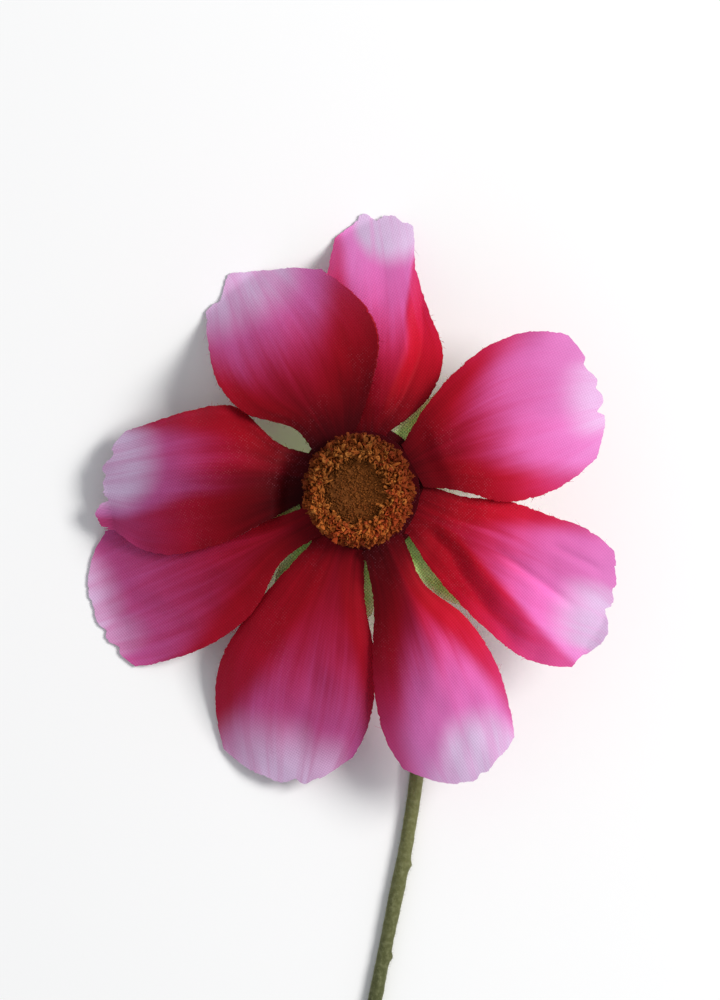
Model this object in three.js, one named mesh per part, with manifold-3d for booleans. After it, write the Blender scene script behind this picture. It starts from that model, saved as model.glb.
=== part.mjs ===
// Cosmos flower: one cut bloom of printed woven fabric on its own flocked stem, laid down with its
// face up. Millimetres, +Z up, the surface that it lies on is z = 0. Seen from above, +X is the
// bloom's right and +Y its top; the stem runs away towards -Y.
//
// The pieces are threaded on the stem's end as on the made flower: calyx, back whorl of four
// petals, front whorl of four petals, then the disc, whose eye takes the end of the stem.

import * as THREE from 'three';
import * as BufferGeometryUtils from 'three/addons/utils/BufferGeometryUtils.js';
import Module from 'manifold-3d';

const wasm = await Module();
wasm.setup();

// The bloom's place and attitude

const BLOOM_X = 1.67;           // bloom centre, so that the part's box is centred on the origin
const BLOOM_Y = 42.17;
const BLOOM_HEIGHT = 17;        // height of the bloom plane at its centre
const SLOPE_X = 0.20;           // rise of the bloom plane towards +X and +Y: the face leans left
const SLOPE_Y = 0.05;

// Fabric

const FABRIC = 0.6;             // thickness of petals and sepals
const PLATE = 0.7;              // joined middle of a whorl, stiffened by its glue
const PLATE_RADIUS = 9.9;
const PLATE_SEGMENTS = 40;
const WHORL_LEVEL = 0.5;        // front and back whorl lie this far above and below the bloom plane
const CALYX_LEVEL = -1.5;
const NECK_START = 8.4;         // radius where a petal starts, sunk in its whorl's plate
const NECK_FLAT = 10.5;         // up to this radius a petal lies in its whorl's plane
const NECK_EASE = 3;            // length over which it takes up its own shape
const GAP = 0.3;                // room between pieces that touch

// Stem

const STEM_RADIUS = 1.05;
const STEM_SIDES = 12;
const STEM_STEPS = 44;
const PEG_RADIUS = 1.0;
const PEG_TOP = 2.9;            // height of the stem's end above the bloom plane, inside the eye
const CUP_RADIUS = 3.4;         // the cup under the calyx, that the stem flares into
const CUP_HEIGHT = 3.2;
const CUP_RINGS = [[0.5, 0.62], [0.88, 1], [1, 0.97]];   // shares of its height and radius
const CUP_LEAD = 1.2;           // straight stretch of the stem just under the cup
const SHOULDER = 0.01;          // rise of the cup's flat top towards the peg

// Disc

const DISC_BASE = WHORL_LEVEL + PLATE / 2 + GAP;
const RING_INNER = 4.9;
const RING_SEGMENTS = 36;
const RING_SECTION = [          // radius, and height over the disc's base, from the foot outwards
  [RING_INNER, 0], [7.5, 0], [7.9, 1.0], [7.7, 2.2], [7.2, 3.2], [6.4, 3.8], [5.6, 3.8],
  [RING_INNER, 3.3], [RING_INNER, 0],
];
const RING_FLORETS = [
  { count: 24, radius: 7.3, height: 1.0, lean: 1.25 },
  { count: 24, radius: 7.1, height: 2.2, lean: 0.9 },
  { count: 20, radius: 6.5, height: 3.0, lean: 0.45 },
  { count: 16, radius: 5.7, height: 3.1, lean: 0.1 },
];
const FLORET_SIDES = 4;
const FLORET_TAPER = 0.7;
const EYE_RADIUS = RING_INNER - GAP;
const EYE_SEGMENTS = 28;
const EYE_RISE = 2.6;           // height of its hollow middle over the disc's base
const EYE_GRANULES = 30;
const SOCKET_RADIUS = PEG_RADIUS + GAP;
const SEED = 11;

// Petals. Angles are seen from above, counter-clockwise from +X, in degrees; length is the distance
// of the tip from the bloom's centre. Every row gives a value at the STATIONS, which are fractions
// of that length: half widths to the left (counter-clockwise) and right of the middle line, then
// heights over the bloom plane: of the middle line, and of each margin over the middle line.
// corner: how far along the two corners of the tip lie. notches: [place across, depth, width], and
// with a depth below 0 a lobe.
// fold: a crest on one side, with its place across, the drop behind it, and the drop's width.

const STATIONS = [0.22, 0.35, 0.5, 0.65, 0.8, 0.92, 1];
const LEFT = 1;
const RIGHT = -1;

const PETALS = [
  {
    name: 'top', whorl: 'back', base: 77, tip: 87, length: 41.4,
    left: [3.7, 5.2, 7.2, 8.4, 8.4, 7.0, 5.8],
    right: [1.8, 6.8, 8.8, 6.6, 4.8, 5.2, 5.2],
    corner: [0.945, 0.945],
    notches: [[0.0, 0.018, 0.12], [0.35, -0.012, 0.2], [-0.72, 0.014, 0.12]],
    middle: [0, 0.6, -0.2, -3.4, -9.0, -15.2, -19.4],
    leftMargin: [0, -0.8, -1.8, -2.2, -2.0, -1.6, -1.0],
    rightMargin: [0, -0.4, -0.6, -0.6, -0.8, -1.0, -0.8],
    power: [2, 2],
    fold: {
      side: RIGHT,
      crest: [0.1, 0.16, 0.28, 0.5, 0.8, 0.95, 1.0],
      drop: [0, 1.6, 3.0, 3.2, 1.2, 0, 0],
      width: 0.35,
    },
  },
  {
    name: 'top_left', whorl: 'front', base: 121, tip: 118, length: 36.8,
    left: [3.2, 4.0, 9.4, 11.0, 9.9, 8.2, 7.2],
    right: [3.8, 9.0, 13.2, 14.0, 12.2, 9.8, 8.0],
    corner: [0.93, 0.885],
    notches: [[0.68, 0.032, 0.14], [0.33, -0.044, 0.3], [-0.45, 0.012, 0.2]],
    middle: [0, 0.6, 0.2, -2.8, -8.0, -12.8, -16.2],
    leftMargin: [0, 0, 0.2, -0.2, -1.0, -1.0, -0.4],
    rightMargin: [0, 0.8, 2.2, 3.0, 2.4, 1.0, 0],
    power: [2, 3],
  },
  {
    name: 'left', whorl: 'back', base: 168, tip: 178, length: 39.0,
    left: [3.8, 7.0, 10.3, 11.9, 12.2, 10.3, 7.2],
    right: [3.6, 4.8, 9.5, 9.1, 7.6, 6.6, 6.2],
    corner: [1.0, 0.89],
    notches: [[-0.55, 0.03, 0.13], [-0.12, 0.014, 0.09], [0.4, 0.01, 0.08], [0.68, -0.028, 0.2]],
    middle: [0, 1.9, 3.1, 2.6, 0.2, -2.6, -4.4],
    leftMargin: [0, 0.2, 0, -0.2, -0.2, -0.2, -0.1],
    rightMargin: [0, -1.6, -4.0, -5.4, -5.0, -4.2, -3.6],
    power: [2, 2],
    fold: {
      side: LEFT,
      crest: [0.4, 0.4, 0.34, 0.34, 0.42, 0.48, 0.5],
      drop: [0, 0.4, 1.8, 2.4, 2.2, 1.4, 0.6],
      width: 0.6,
    },
  },
  {
    name: 'lower_left', whorl: 'front', base: 209, tip: 206, length: 44.8,
    left: [2.9, 3.7, 8.3, 10.1, 10.0, 9.0, 7.8],
    right: [2.0, 3.2, 8.0, 10.6, 11.6, 11.9, 11.9],
    corner: [0.935, 0.85],
    notches: [[0.25, 0.018, 0.1], [0.6, 0.02, 0.09], [-0.15, 0.01, 0.1]],
    middle: [0, -0.4, -1.6, -3.6, -6.2, -8.4, -9.6],
    leftMargin: [0, -0.8, -1.8, -2.2, -1.6, -0.8, 0],
    rightMargin: [0, -1.6, -2.6, -2.6, -2.0, -1.0, 0],
    power: [2, 2],
  },
  {
    name: 'bottom_left', whorl: 'back', base: 250, tip: 257, length: 45.5,
    left: [3.9, 5.8, 8.8, 10.3, 9.9, 7.9, 6.4],
    right: [4.5, 7.4, 10.9, 13.3, 12.8, 10.8, 9.4],
    corner: [0.89, 0.91],
    notches: [[0.02, 0.018, 0.12], [-0.45, 0.008, 0.09], [0.45, 0.008, 0.08]],
    middle: [0, 0, -0.6, -2.2, -4.8, -7.4, -9.4],
    leftMargin: [0, -1.0, -2.0, -2.6, -2.4, -1.8, -1.0],
    rightMargin: [0, -1.4, -3.5, -4.5, -4.2, -2.7, -1.4],
    power: [2, 2.5],
  },
  {
    name: 'bottom', whorl: 'front', base: 295, tip: 291, length: 46.8,
    left: [2.6, 2.6, 6.6, 8.4, 8.4, 7.5, 6.6],
    right: [4.0, 5.3, 8.2, 10.2, 10.7, 9.2, 7.8],
    corner: [0.905, 0.90],
    notches: [[0.6, 0.02, 0.25], [0.22, 0.016, 0.1], [-0.2, 0.006, 0.08]],
    middle: [0, 0.4, 0.4, -0.4, -2.0, -3.8, -5.2],
    leftMargin: [0, -0.8, -1.6, -2.0, -1.8, -1.2, -0.8],
    rightMargin: [0, -1.4, -3.2, -4.0, -3.4, -2.2, -1.4],
    power: [2, 2.5],
  },
  {
    name: 'lower_right', whorl: 'back', base: 337, tip: 334, length: 41.2,
    left: [4.5, 5.2, 7.4, 8.2, 9.0, 8.0, 6.4],
    right: [3.5, 6.8, 9.5, 11.4, 12.4, 11.4, 9.8],
    corner: [0.91, 0.985],
    notches: [[0.42, 0.018, 0.09], [-0.02, 0.02, 0.09], [-0.4, -0.036, 0.28], [0.75, 0.008, 0.08]],
    middle: [0, 0.2, 0.2, -0.8, -3.0, -5.4, -7.2],
    leftMargin: [0, -0.8, -1.6, -1.8, -1.6, -1.2, -0.8],
    rightMargin: [0, -0.4, -0.4, -0.4, -0.8, -1.2, -0.8],
    power: [2, 2],
    fold: {
      side: RIGHT,
      crest: [0, 0.05, 0.3, 0.46, 0.58, 0.7, 0.8],
      drop: [0, 1.0, 1.9, 1.9, 1.2, 0.3, 0],
      width: 0.4,
    },
  },
  {
    name: 'right', whorl: 'front', base: 28, tip: 19, length: 38.4,
    left: [3.2, 6.8, 10.3, 12.6, 12.9, 11.2, 9.4],
    right: [3.9, 6.6, 10.3, 11.2, 10.2, 7.9, 5.8],
    corner: [0.91, 0.94],
    notches: [[0.6, 0.028, 0.1], [0.3, 0.016, 0.08], [-0.08, 0.03, 0.1]],
    middle: [0, 0.8, 0.8, -0.6, -3.6, -6.6, -9.0],
    leftMargin: [0, -0.8, -1.8, -2.2, -2.0, -1.4, -0.8],
    rightMargin: [0, -0.6, -1.6, -2.2, -2.2, -1.6, -1.0],
    power: [2, 2],
  },
];

const TIP_POWER = 2.5;          // how the tip's edge is drawn back towards its corners
const PETAL_COLUMNS = 12;
const PETAL_ROWS = [0, 0.1, 0.2, 0.3, 0.41, 0.52, 0.63, 0.74, 0.84, 0.93, 1];

// Sepals, by their axis, greatest half width and length from the bloom's centre

const SEPALS = [
  { axis: 36, halfWidth: 5.2, length: 24 },
  { axis: 106, halfWidth: 5.6, length: 23 },
  { axis: 180, halfWidth: 5.4, length: 23 },
  { axis: 250, halfWidth: 7.6, length: 25 },
  { axis: 323, halfWidth: 5.6, length: 28 },
];
const SEPAL_STATIONS = [0.28, 0.5, 0.7, 0.85, 1];
const SEPAL_WIDTHS = [0.7, 0.94, 1, 0.72, 0.06];   // shares of the half width
const SEPAL_DROPS = [0, -1.2, -3.4, -5.4, -7.6];   // under the calyx level
const SEPAL_MARGIN_DROP = -1.0;
const SEPAL_MARGIN_EASE = 0.4;  // share of the length over which the margins take their drop
const SEPAL_START = 6.5;
const CALYX_RADIUS = 8.0;
const SEPAL_COLUMNS = 4;
const SEPAL_ROWS = [0, 0.15, 0.3, 0.45, 0.6, 0.75, 0.88, 1];

// The stem's middle line from the neck to the cut end: across, along and height, from the bloom's
// centre

const STEM_REST = STEM_RADIUS * Math.cos(Math.PI / STEM_SIDES);
const STEM_POINTS = [
  [2.0, -0.6, 7.4],
  [3.6, -5.2, 3.9],
  [6.0, -13, 2.0],
  [8.0, -25, STEM_REST],
  [8.5, -40, STEM_REST],
  [6.9, -52.4, STEM_REST],
  [4.6, -64, STEM_REST],
  [2.1, -76.4, STEM_REST],
  [-2.0, -100, STEM_REST],
  [-5.4, -126, STEM_REST],
];

// Nubs on the stem's right side: place along from the neck, and how far they stand out

const STEM_NUBS = [[0.50, 0.35], [0.55, 0.3], [0.67, 0.4], [0.86, 0.3]];
const NUB_RADIUS = 0.8;
const NUB_STRETCH = 1.6;        // along the stem
const NUB_SETTING = 0.28;       // from the stem's middle line to the nub's, before it stands out
const NUB_LIFT = 0.2;

const MERGE_REACH = 1e-5;       // vertices closer than this are one
const SPINE_STEP = 0.001;       // steps for the slopes of a middle line and of a blade
const BLADE_STEP = 0.004;

const radians = THREE.MathUtils.degToRad;

// A smooth curve through values at stations: cubic pieces whose slopes are weighted means.
function through(stations, values, at) {
  const last = stations.length - 1;
  const x = THREE.MathUtils.clamp(at, stations[0], stations[last]);
  let i = 0;
  while (i < last - 1 && x >= stations[i + 1]) {
    i += 1;
  }
  const step = (k) => stations[k + 1] - stations[k];
  const rise = (k) => (values[k + 1] - values[k]) / step(k);
  const slope = (k) => {
    if (k === 0) {
      return rise(0);
    }
    if (k === last) {
      return rise(last - 1);
    }
    return (rise(k - 1) * step(k) + rise(k) * step(k - 1)) / (step(k - 1) + step(k));
  };
  const h = step(i);
  const t = (x - stations[i]) / h;
  const t2 = t * t;
  const t3 = t2 * t;
  return (2 * t3 - 3 * t2 + 1) * values[i] + (t3 - 2 * t2 + t) * h * slope(i)
    + (3 * t2 - 2 * t3) * values[i + 1] + (t3 - t2) * h * slope(i + 1);
}

function smoothStep(t) {
  const c = THREE.MathUtils.clamp(t, 0, 1);
  return c * c * (3 - 2 * c);
}

function bloomPlane(x, y) {
  return BLOOM_HEIGHT + SLOPE_X * x + SLOPE_Y * y;
}

function whorlLevel(name) {
  return name === 'front' ? WHORL_LEVEL : -WHORL_LEVEL;
}

// A petal's middle surface: along 0..1 from neck to tip, across -1..1 from right to left margin.
function petalPoint(petal, along, across) {
  const start = NECK_START / petal.length;
  const corner = across > 0 ? petal.corner[0] : petal.corner[1];
  let end = 1 - (1 - corner) * Math.abs(across) ** TIP_POWER;
  for (const [place, depth, width] of petal.notches) {
    end -= depth * Math.exp(-(((across - place) / width) ** 2));
  }
  const l = start + (end - start) * along;
  const middle = (share) => {
    const turn = THREE.MathUtils.clamp((share - STATIONS[0]) / (1 - STATIONS[0]), 0, 1);
    const angle = radians(petal.base + (petal.tip - petal.base) * turn);
    const radius = share * petal.length;
    return new THREE.Vector2(radius * Math.cos(angle), radius * Math.sin(angle));
  };
  const tangent = middle(l + SPINE_STEP).sub(middle(l - SPINE_STEP)).normalize();
  const half = through(STATIONS, across > 0 ? petal.left : petal.right, l);
  const place = middle(l).add(new THREE.Vector2(-tangent.y, tangent.x).multiplyScalar(across * half));
  const margin = through(STATIONS, across > 0 ? petal.leftMargin : petal.rightMargin, l);
  const power = across > 0 ? petal.power[0] : petal.power[1];
  let height = through(STATIONS, petal.middle, l) + margin * Math.abs(across) ** power;
  if (petal.fold) {
    const past = petal.fold.side * across - through(STATIONS, petal.fold.crest, l);
    height -= through(STATIONS, petal.fold.drop, l) * smoothStep(past / petal.fold.width);
  }
  height *= smoothStep((l * petal.length - NECK_FLAT) / NECK_EASE);
  const level = whorlLevel(petal.whorl);
  return new THREE.Vector3(place.x, place.y, bloomPlane(place.x, place.y) + level + height);
}

// A sepal's middle surface: pointed, and bent down away from the petals.
function sepalPoint(sepal, along, across) {
  const start = SEPAL_START / sepal.length;
  const l = start + (1 - start) * along;
  const angle = radians(sepal.axis);
  const radius = l * sepal.length;
  const half = across * sepal.halfWidth * through(SEPAL_STATIONS, SEPAL_WIDTHS, l);
  const x = radius * Math.cos(angle) - half * Math.sin(angle);
  const y = radius * Math.sin(angle) + half * Math.cos(angle);
  const drop = through(SEPAL_STATIONS, SEPAL_DROPS, l);
  const margin = SEPAL_MARGIN_DROP * across ** 2 * smoothStep((l - start) / SEPAL_MARGIN_EASE);
  return new THREE.Vector3(x, y, bloomPlane(x, y) + CALYX_LEVEL + drop + margin);
}

function solidOf(geometry) {
  const bare = geometry.clone();
  bare.deleteAttribute('normal');
  bare.deleteAttribute('uv');
  const merged = BufferGeometryUtils.mergeVertices(bare, MERGE_REACH);
  return new wasm.Manifold(new wasm.Mesh({
    numProp: 3,
    vertProperties: new Float32Array(merged.attributes.position.array),
    triVerts: new Uint32Array(merged.index.array),
  }));
}

function geometryOf(solid) {
  const mesh = solid.getMesh();
  const geometry = new THREE.BufferGeometry();
  geometry.setAttribute('position', new THREE.BufferAttribute(new Float32Array(mesh.vertProperties), 3));
  geometry.setIndex(new THREE.BufferAttribute(new Uint32Array(mesh.triVerts), 1));
  geometry.computeVertexNormals();
  return geometry;
}

// A closed blade from its middle surface on a grid: both faces stand off along the surface's
// normal, share one way of splitting into triangles, and are joined by a wall all round. Nothing of
// it goes under the surface that the flower lies on: there its underside is flat.
function blade(pointAt, rows, columns, thickness) {
  const positions = [];
  const half = thickness / 2;
  for (const face of [1, -1]) {
    for (const along of rows) {
      for (const across of columns) {
        const a = THREE.MathUtils.clamp(along, BLADE_STEP, 1 - BLADE_STEP);
        const c = THREE.MathUtils.clamp(across, -1 + BLADE_STEP, 1 - BLADE_STEP);
        const du = pointAt(a + BLADE_STEP, c).sub(pointAt(a - BLADE_STEP, c));
        const dv = pointAt(a, c + BLADE_STEP).sub(pointAt(a, c - BLADE_STEP));
        const normal = du.cross(dv).normalize();
        const point = pointAt(along, across).addScaledVector(normal, face * half);
        point.z = Math.max(point.z, face > 0 ? thickness : 0);
        positions.push(point.x, point.y, point.z);
      }
    }
  }
  const wide = columns.length;
  const high = rows.length;
  const at = (face, i, j) => face * wide * high + i * wide + j;
  const index = [];
  for (let i = 0; i < high - 1; i += 1) {
    for (let j = 0; j < wide - 1; j += 1) {
      const [a, b, c, d] = [at(0, i, j), at(0, i + 1, j), at(0, i + 1, j + 1), at(0, i, j + 1)];
      const under = wide * high;
      index.push(a, b, c, a, c, d);
      index.push(a + under, c + under, b + under, a + under, d + under, c + under);
    }
  }
  const rim = [];
  for (let i = 0; i < high - 1; i += 1) {
    rim.push([i, 0]);
  }
  for (let j = 0; j < wide - 1; j += 1) {
    rim.push([high - 1, j]);
  }
  for (let i = high - 1; i > 0; i -= 1) {
    rim.push([i, wide - 1]);
  }
  for (let j = wide - 1; j > 0; j -= 1) {
    rim.push([0, j]);
  }
  rim.forEach(([i, j], k) => {
    const [m, n] = rim[(k + 1) % rim.length];
    index.push(at(0, i, j), at(1, i, j), at(1, m, n), at(0, i, j), at(1, m, n), at(0, m, n));
  });
  const geometry = new THREE.BufferGeometry();
  geometry.setAttribute('position', new THREE.Float32BufferAttribute(positions, 3));
  geometry.setIndex(index);
  return geometry;
}

// Even columns across a petal, the nearest one moved to each notch.
function columnsFor(petal) {
  const columns = [];
  for (let i = 0; i <= PETAL_COLUMNS; i += 1) {
    columns.push(-1 + (2 * i) / PETAL_COLUMNS);
  }
  for (const [place] of petal.notches) {
    const nearest = Math.round(((place + 1) * PETAL_COLUMNS) / 2);
    columns[THREE.MathUtils.clamp(nearest, 1, PETAL_COLUMNS - 1)] = place;
  }
  return columns;
}

// The turn from upright to the bloom's axis, and a lathed piece round that axis.
const AXIS = new THREE.Vector3(-SLOPE_X, -SLOPE_Y, 1).normalize();
const BLOOM_FRAME = new THREE.Matrix4().compose(
  new THREE.Vector3(0, 0, BLOOM_HEIGHT),
  new THREE.Quaternion().setFromUnitVectors(new THREE.Vector3(0, 0, 1), AXIS),
  new THREE.Vector3(1, 1, 1),
);

function turned(profile, segments) {
  const points = profile.map(([radius, height]) => new THREE.Vector2(radius, height));
  const geometry = new THREE.LatheGeometry(points, segments);
  geometry.rotateX(Math.PI / 2);
  return geometry;
}

// A flat ring with its hole for the stem's end, in the bloom's frame.
function plate(level, radius) {
  const low = level - PLATE / 2;
  const high = level + PLATE / 2;
  const hole = SOCKET_RADIUS;
  const profile = [[hole, low], [radius, low], [radius, high], [hole, high], [hole, low]];
  return solidOf(turned(profile, PLATE_SEGMENTS).applyMatrix4(BLOOM_FRAME));
}

function whorl(name) {
  let solid = plate(whorlLevel(name), PLATE_RADIUS);
  for (const petal of PETALS.filter((one) => one.whorl === name)) {
    const surface = (along, across) => petalPoint(petal, along, across);
    solid = solid.add(solidOf(blade(surface, PETAL_ROWS, columnsFor(petal), FABRIC)));
  }
  return geometryOf(solid);
}

function calyx() {
  const columns = [];
  for (let i = 0; i <= SEPAL_COLUMNS; i += 1) {
    columns.push(-1 + (2 * i) / SEPAL_COLUMNS);
  }
  let solid = plate(CALYX_LEVEL, CALYX_RADIUS);
  for (const sepal of SEPALS) {
    const surface = (along, across) => sepalPoint(sepal, along, across);
    solid = solid.add(solidOf(blade(surface, SEPAL_ROWS, columns, FABRIC)));
  }
  return geometryOf(solid);
}

// A seeded draw, the same at every run.
function dice(seed) {
  let state = seed >>> 0;
  return () => {
    state = (state + 0x6d2b79f5) >>> 0;
    let t = Math.imul(state ^ (state >>> 15), 1 | state);
    t = (t + Math.imul(t ^ (t >>> 7), 61 | t)) ^ t;
    return ((t ^ (t >>> 14)) >>> 0) / 4294967296;
  };
}

// One floret: a short tapered rod, its root sunk in the core.
function floret(root, direction, length, radius) {
  const rod = new THREE.CylinderGeometry(radius * FLORET_TAPER, radius, length, FLORET_SIDES, 1);
  rod.translate(0, length / 2, 0);
  const turn = new THREE.Quaternion().setFromUnitVectors(new THREE.Vector3(0, 1, 0), direction);
  rod.applyQuaternion(turn);
  rod.translate(root.x, root.y, root.z);
  return solidOf(rod.applyMatrix4(BLOOM_FRAME));
}

// The disc's ring: a domed core with rows of crumbly florets leaning outwards.
function discFlorets() {
  const profile = RING_SECTION.map(([radius, height]) => [radius, DISC_BASE + height]);
  let solid = solidOf(turned(profile, RING_SEGMENTS).applyMatrix4(BLOOM_FRAME));
  const draw = dice(SEED);
  for (const row of RING_FLORETS) {
    for (let i = 0; i < row.count; i += 1) {
      const angle = ((i + 0.5 * draw()) / row.count) * 2 * Math.PI;
      const lean = row.lean + 0.3 * (draw() - 0.5);
      const radius = row.radius + 0.3 * (draw() - 0.5);
      const outward = new THREE.Vector3(Math.cos(angle), Math.sin(angle), 0);
      const root = outward.clone().multiplyScalar(radius).setZ(DISC_BASE + row.height);
      const direction = outward.multiplyScalar(Math.sin(lean)).setZ(Math.cos(lean)).normalize();
      solid = solid.add(floret(root, direction, 1.25 + 0.4 * draw(), 0.55 + 0.15 * draw()));
    }
  }
  return geometryOf(solid);
}

// The disc's eye: a low hollowed plug with flat granules, and the socket for the stem's end.
function discEye() {
  const top = DISC_BASE + EYE_RISE;
  const socketTop = PEG_TOP + GAP;
  const profile = [
    [0, socketTop], [SOCKET_RADIUS, socketTop], [SOCKET_RADIUS, DISC_BASE], [EYE_RADIUS, DISC_BASE],
    [EYE_RADIUS, top + 0.5], [EYE_RADIUS - 0.7, top + 0.55], [EYE_RADIUS - 1.8, top + 0.2], [0, top],
  ];
  let solid = solidOf(turned(profile, EYE_SEGMENTS).applyMatrix4(BLOOM_FRAME));
  const draw = dice(SEED + 1);
  const golden = Math.PI * (3 - Math.sqrt(5));
  for (let i = 0; i < EYE_GRANULES; i += 1) {
    const radius = (EYE_RADIUS - 0.6) * Math.sqrt((i + 0.5) / EYE_GRANULES);
    const angle = i * golden;
    const root = new THREE.Vector3(radius * Math.cos(angle), radius * Math.sin(angle), top - 0.5);
    const tilt = new THREE.Vector3(0.3 * (draw() - 0.5), 0.3 * (draw() - 0.5), 1).normalize();
    const length = 0.95 + 0.15 * radius / EYE_RADIUS + 0.3 * draw();
    solid = solid.add(floret(root, tilt, length, 0.4 + 0.1 * draw()));
  }
  return geometryOf(solid);
}

// The stem: one round bar swept along its middle line, from the cut end to the peg, with the cup
// that carries the calyx. The ring of each step is level, so the stem lies on a flat of its section.
function stem() {
  const onAxis = (height) => new THREE.Vector3(0, 0, height).applyMatrix4(BLOOM_FRAME);
  const cupTop = CALYX_LEVEL - PLATE / 2 - GAP;
  const cupFoot = cupTop - CUP_HEIGHT;
  const points = STEM_POINTS.map((p) => new THREE.Vector3(...p)).reverse();
  points.push(onAxis(cupFoot - CUP_LEAD), onAxis(cupFoot));
  const curve = new THREE.CatmullRomCurve3(points, false, 'centripetal');
  const positions = [];
  const rings = [];
  const addRing = (centre, along, radius) => {
    const side = new THREE.Vector3(0, 0, 1).cross(along).normalize();
    const up = along.clone().cross(side).normalize();
    rings.push(positions.length / 3);
    for (let k = 0; k < STEM_SIDES; k += 1) {
      const angle = ((k + 0.5) / STEM_SIDES) * 2 * Math.PI;
      const point = centre.clone()
        .addScaledVector(side, radius * Math.cos(angle))
        .addScaledVector(up, radius * Math.sin(angle));
      positions.push(point.x, point.y, point.z);
    }
  };
  for (let i = 0; i <= STEM_STEPS; i += 1) {
    const centre = curve.getPointAt(i / STEM_STEPS);
    centre.z = Math.max(centre.z, STEM_REST);
    addRing(centre, curve.getTangentAt(i / STEM_STEPS), STEM_RADIUS);
  }
  for (const [rise, reach] of CUP_RINGS) {
    addRing(onAxis(cupFoot + rise * CUP_HEIGHT), AXIS, reach * CUP_RADIUS);
  }
  addRing(onAxis(cupTop + SHOULDER), AXIS, PEG_RADIUS);
  addRing(onAxis(PEG_TOP), AXIS, PEG_RADIUS);
  const index = [];
  for (let r = 0; r < rings.length - 1; r += 1) {
    for (let k = 0; k < STEM_SIDES; k += 1) {
      const next = (k + 1) % STEM_SIDES;
      const [a, b] = [rings[r] + k, rings[r] + next];
      const [c, d] = [rings[r + 1] + next, rings[r + 1] + k];
      index.push(a, b, c, a, c, d);
    }
  }
  for (let k = 1; k < STEM_SIDES - 1; k += 1) {
    const last = rings[rings.length - 1];
    index.push(0, k + 1, k);
    index.push(last, last + k, last + k + 1);
  }
  const geometry = new THREE.BufferGeometry();
  geometry.setAttribute('position', new THREE.Float32BufferAttribute(positions, 3));
  geometry.setIndex(index);
  let solid = solidOf(geometry);
  for (const [place, height] of STEM_NUBS) {
    const nub = new THREE.SphereGeometry(NUB_RADIUS, 8, 6);
    const centre = curve.getPointAt(1 - place);
    nub.scale(1, NUB_STRETCH, 1);
    nub.translate(centre.x + NUB_SETTING + height, centre.y, centre.z + NUB_LIFT);
    solid = solid.add(solidOf(nub));
  }
  return geometryOf(solid);
}

function material(colour, roughness) {
  return new THREE.MeshStandardMaterial({ color: colour, roughness, metalness: 0 });
}

function part(name, geometry, finish) {
  const mesh = new THREE.Mesh(geometry, finish);
  mesh.name = name;
  return mesh;
}

const flower = new THREE.Group();
flower.position.set(BLOOM_X, BLOOM_Y, 0);
flower.add(part('stem', stem(), material(0x7a744b, 0.9)));
flower.add(part('calyx', calyx(), material(0x6f9a52, 0.85)));
flower.add(part('petal_whorl_back', whorl('back'), material(0xb02858, 0.75)));
flower.add(part('petal_whorl_front', whorl('front'), material(0xc8488c, 0.75)));
flower.add(part('disc_florets', discFlorets(), material(0x96551f, 0.95)));
flower.add(part('disc_eye', discEye(), material(0x5a3814, 0.95)));

export default flower;
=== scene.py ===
"""Looks of the cosmos flower: printed woven petals, crumbly disc, sepals and flocked stem.

Every shape is worked out in millimetres round the bloom's centre, by the same kind of formulas as
the solid that it stands for, and is put into its mesh in metres in the part's own frame. The cloth
and the joined middles are a little thinner and smaller than in the solids.
Petals are grids over two parameters: along, 0 at the neck and 1 at the tip, and across, -1 at the
right margin and 1 at the left one, left being counter-clockwise when seen from above.
"""

import logging
import math
from dataclasses import dataclass, field
from enum import Enum

import bpy
import numpy as np
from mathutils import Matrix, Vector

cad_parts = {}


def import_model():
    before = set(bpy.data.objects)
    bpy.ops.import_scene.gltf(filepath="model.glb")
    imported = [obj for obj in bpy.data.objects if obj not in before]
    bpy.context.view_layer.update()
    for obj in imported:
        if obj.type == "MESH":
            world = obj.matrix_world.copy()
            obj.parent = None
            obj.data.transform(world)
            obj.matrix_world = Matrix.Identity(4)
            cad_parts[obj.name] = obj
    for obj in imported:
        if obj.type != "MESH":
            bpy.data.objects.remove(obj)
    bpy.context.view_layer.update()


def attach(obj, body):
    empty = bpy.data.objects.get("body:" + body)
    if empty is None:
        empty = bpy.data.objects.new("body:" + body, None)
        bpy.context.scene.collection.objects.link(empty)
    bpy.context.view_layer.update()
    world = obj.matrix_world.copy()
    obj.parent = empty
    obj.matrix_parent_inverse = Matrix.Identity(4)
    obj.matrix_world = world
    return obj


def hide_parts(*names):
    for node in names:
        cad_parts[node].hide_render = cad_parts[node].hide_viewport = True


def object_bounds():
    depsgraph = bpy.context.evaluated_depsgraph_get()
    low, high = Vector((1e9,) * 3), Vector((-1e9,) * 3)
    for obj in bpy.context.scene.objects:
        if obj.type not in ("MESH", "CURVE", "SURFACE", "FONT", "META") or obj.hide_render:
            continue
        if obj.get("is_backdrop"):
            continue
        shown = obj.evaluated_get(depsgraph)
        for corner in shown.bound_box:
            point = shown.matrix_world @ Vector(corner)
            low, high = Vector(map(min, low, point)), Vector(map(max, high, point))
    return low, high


Array = np.ndarray
Colour = tuple[float, float, float]
Place = tuple[float, float, float]
Span = tuple[float, float]
Carry = tuple[Span, Span]  # a range, and the range that it is carried to
Values = tuple[float, ...]
Stops = tuple[tuple[float, Colour], ...]
Socket = bpy.types.NodeSocket

MM = 0.001  # metres in a millimetre
LOG = logging.getLogger("cosmos_flower")

STATIONS: Values = (0.22, 0.35, 0.5, 0.65, 0.8, 0.92, 1.0)  # shares of a petal's length
LEFT = 1
RIGHT = -1

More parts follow.
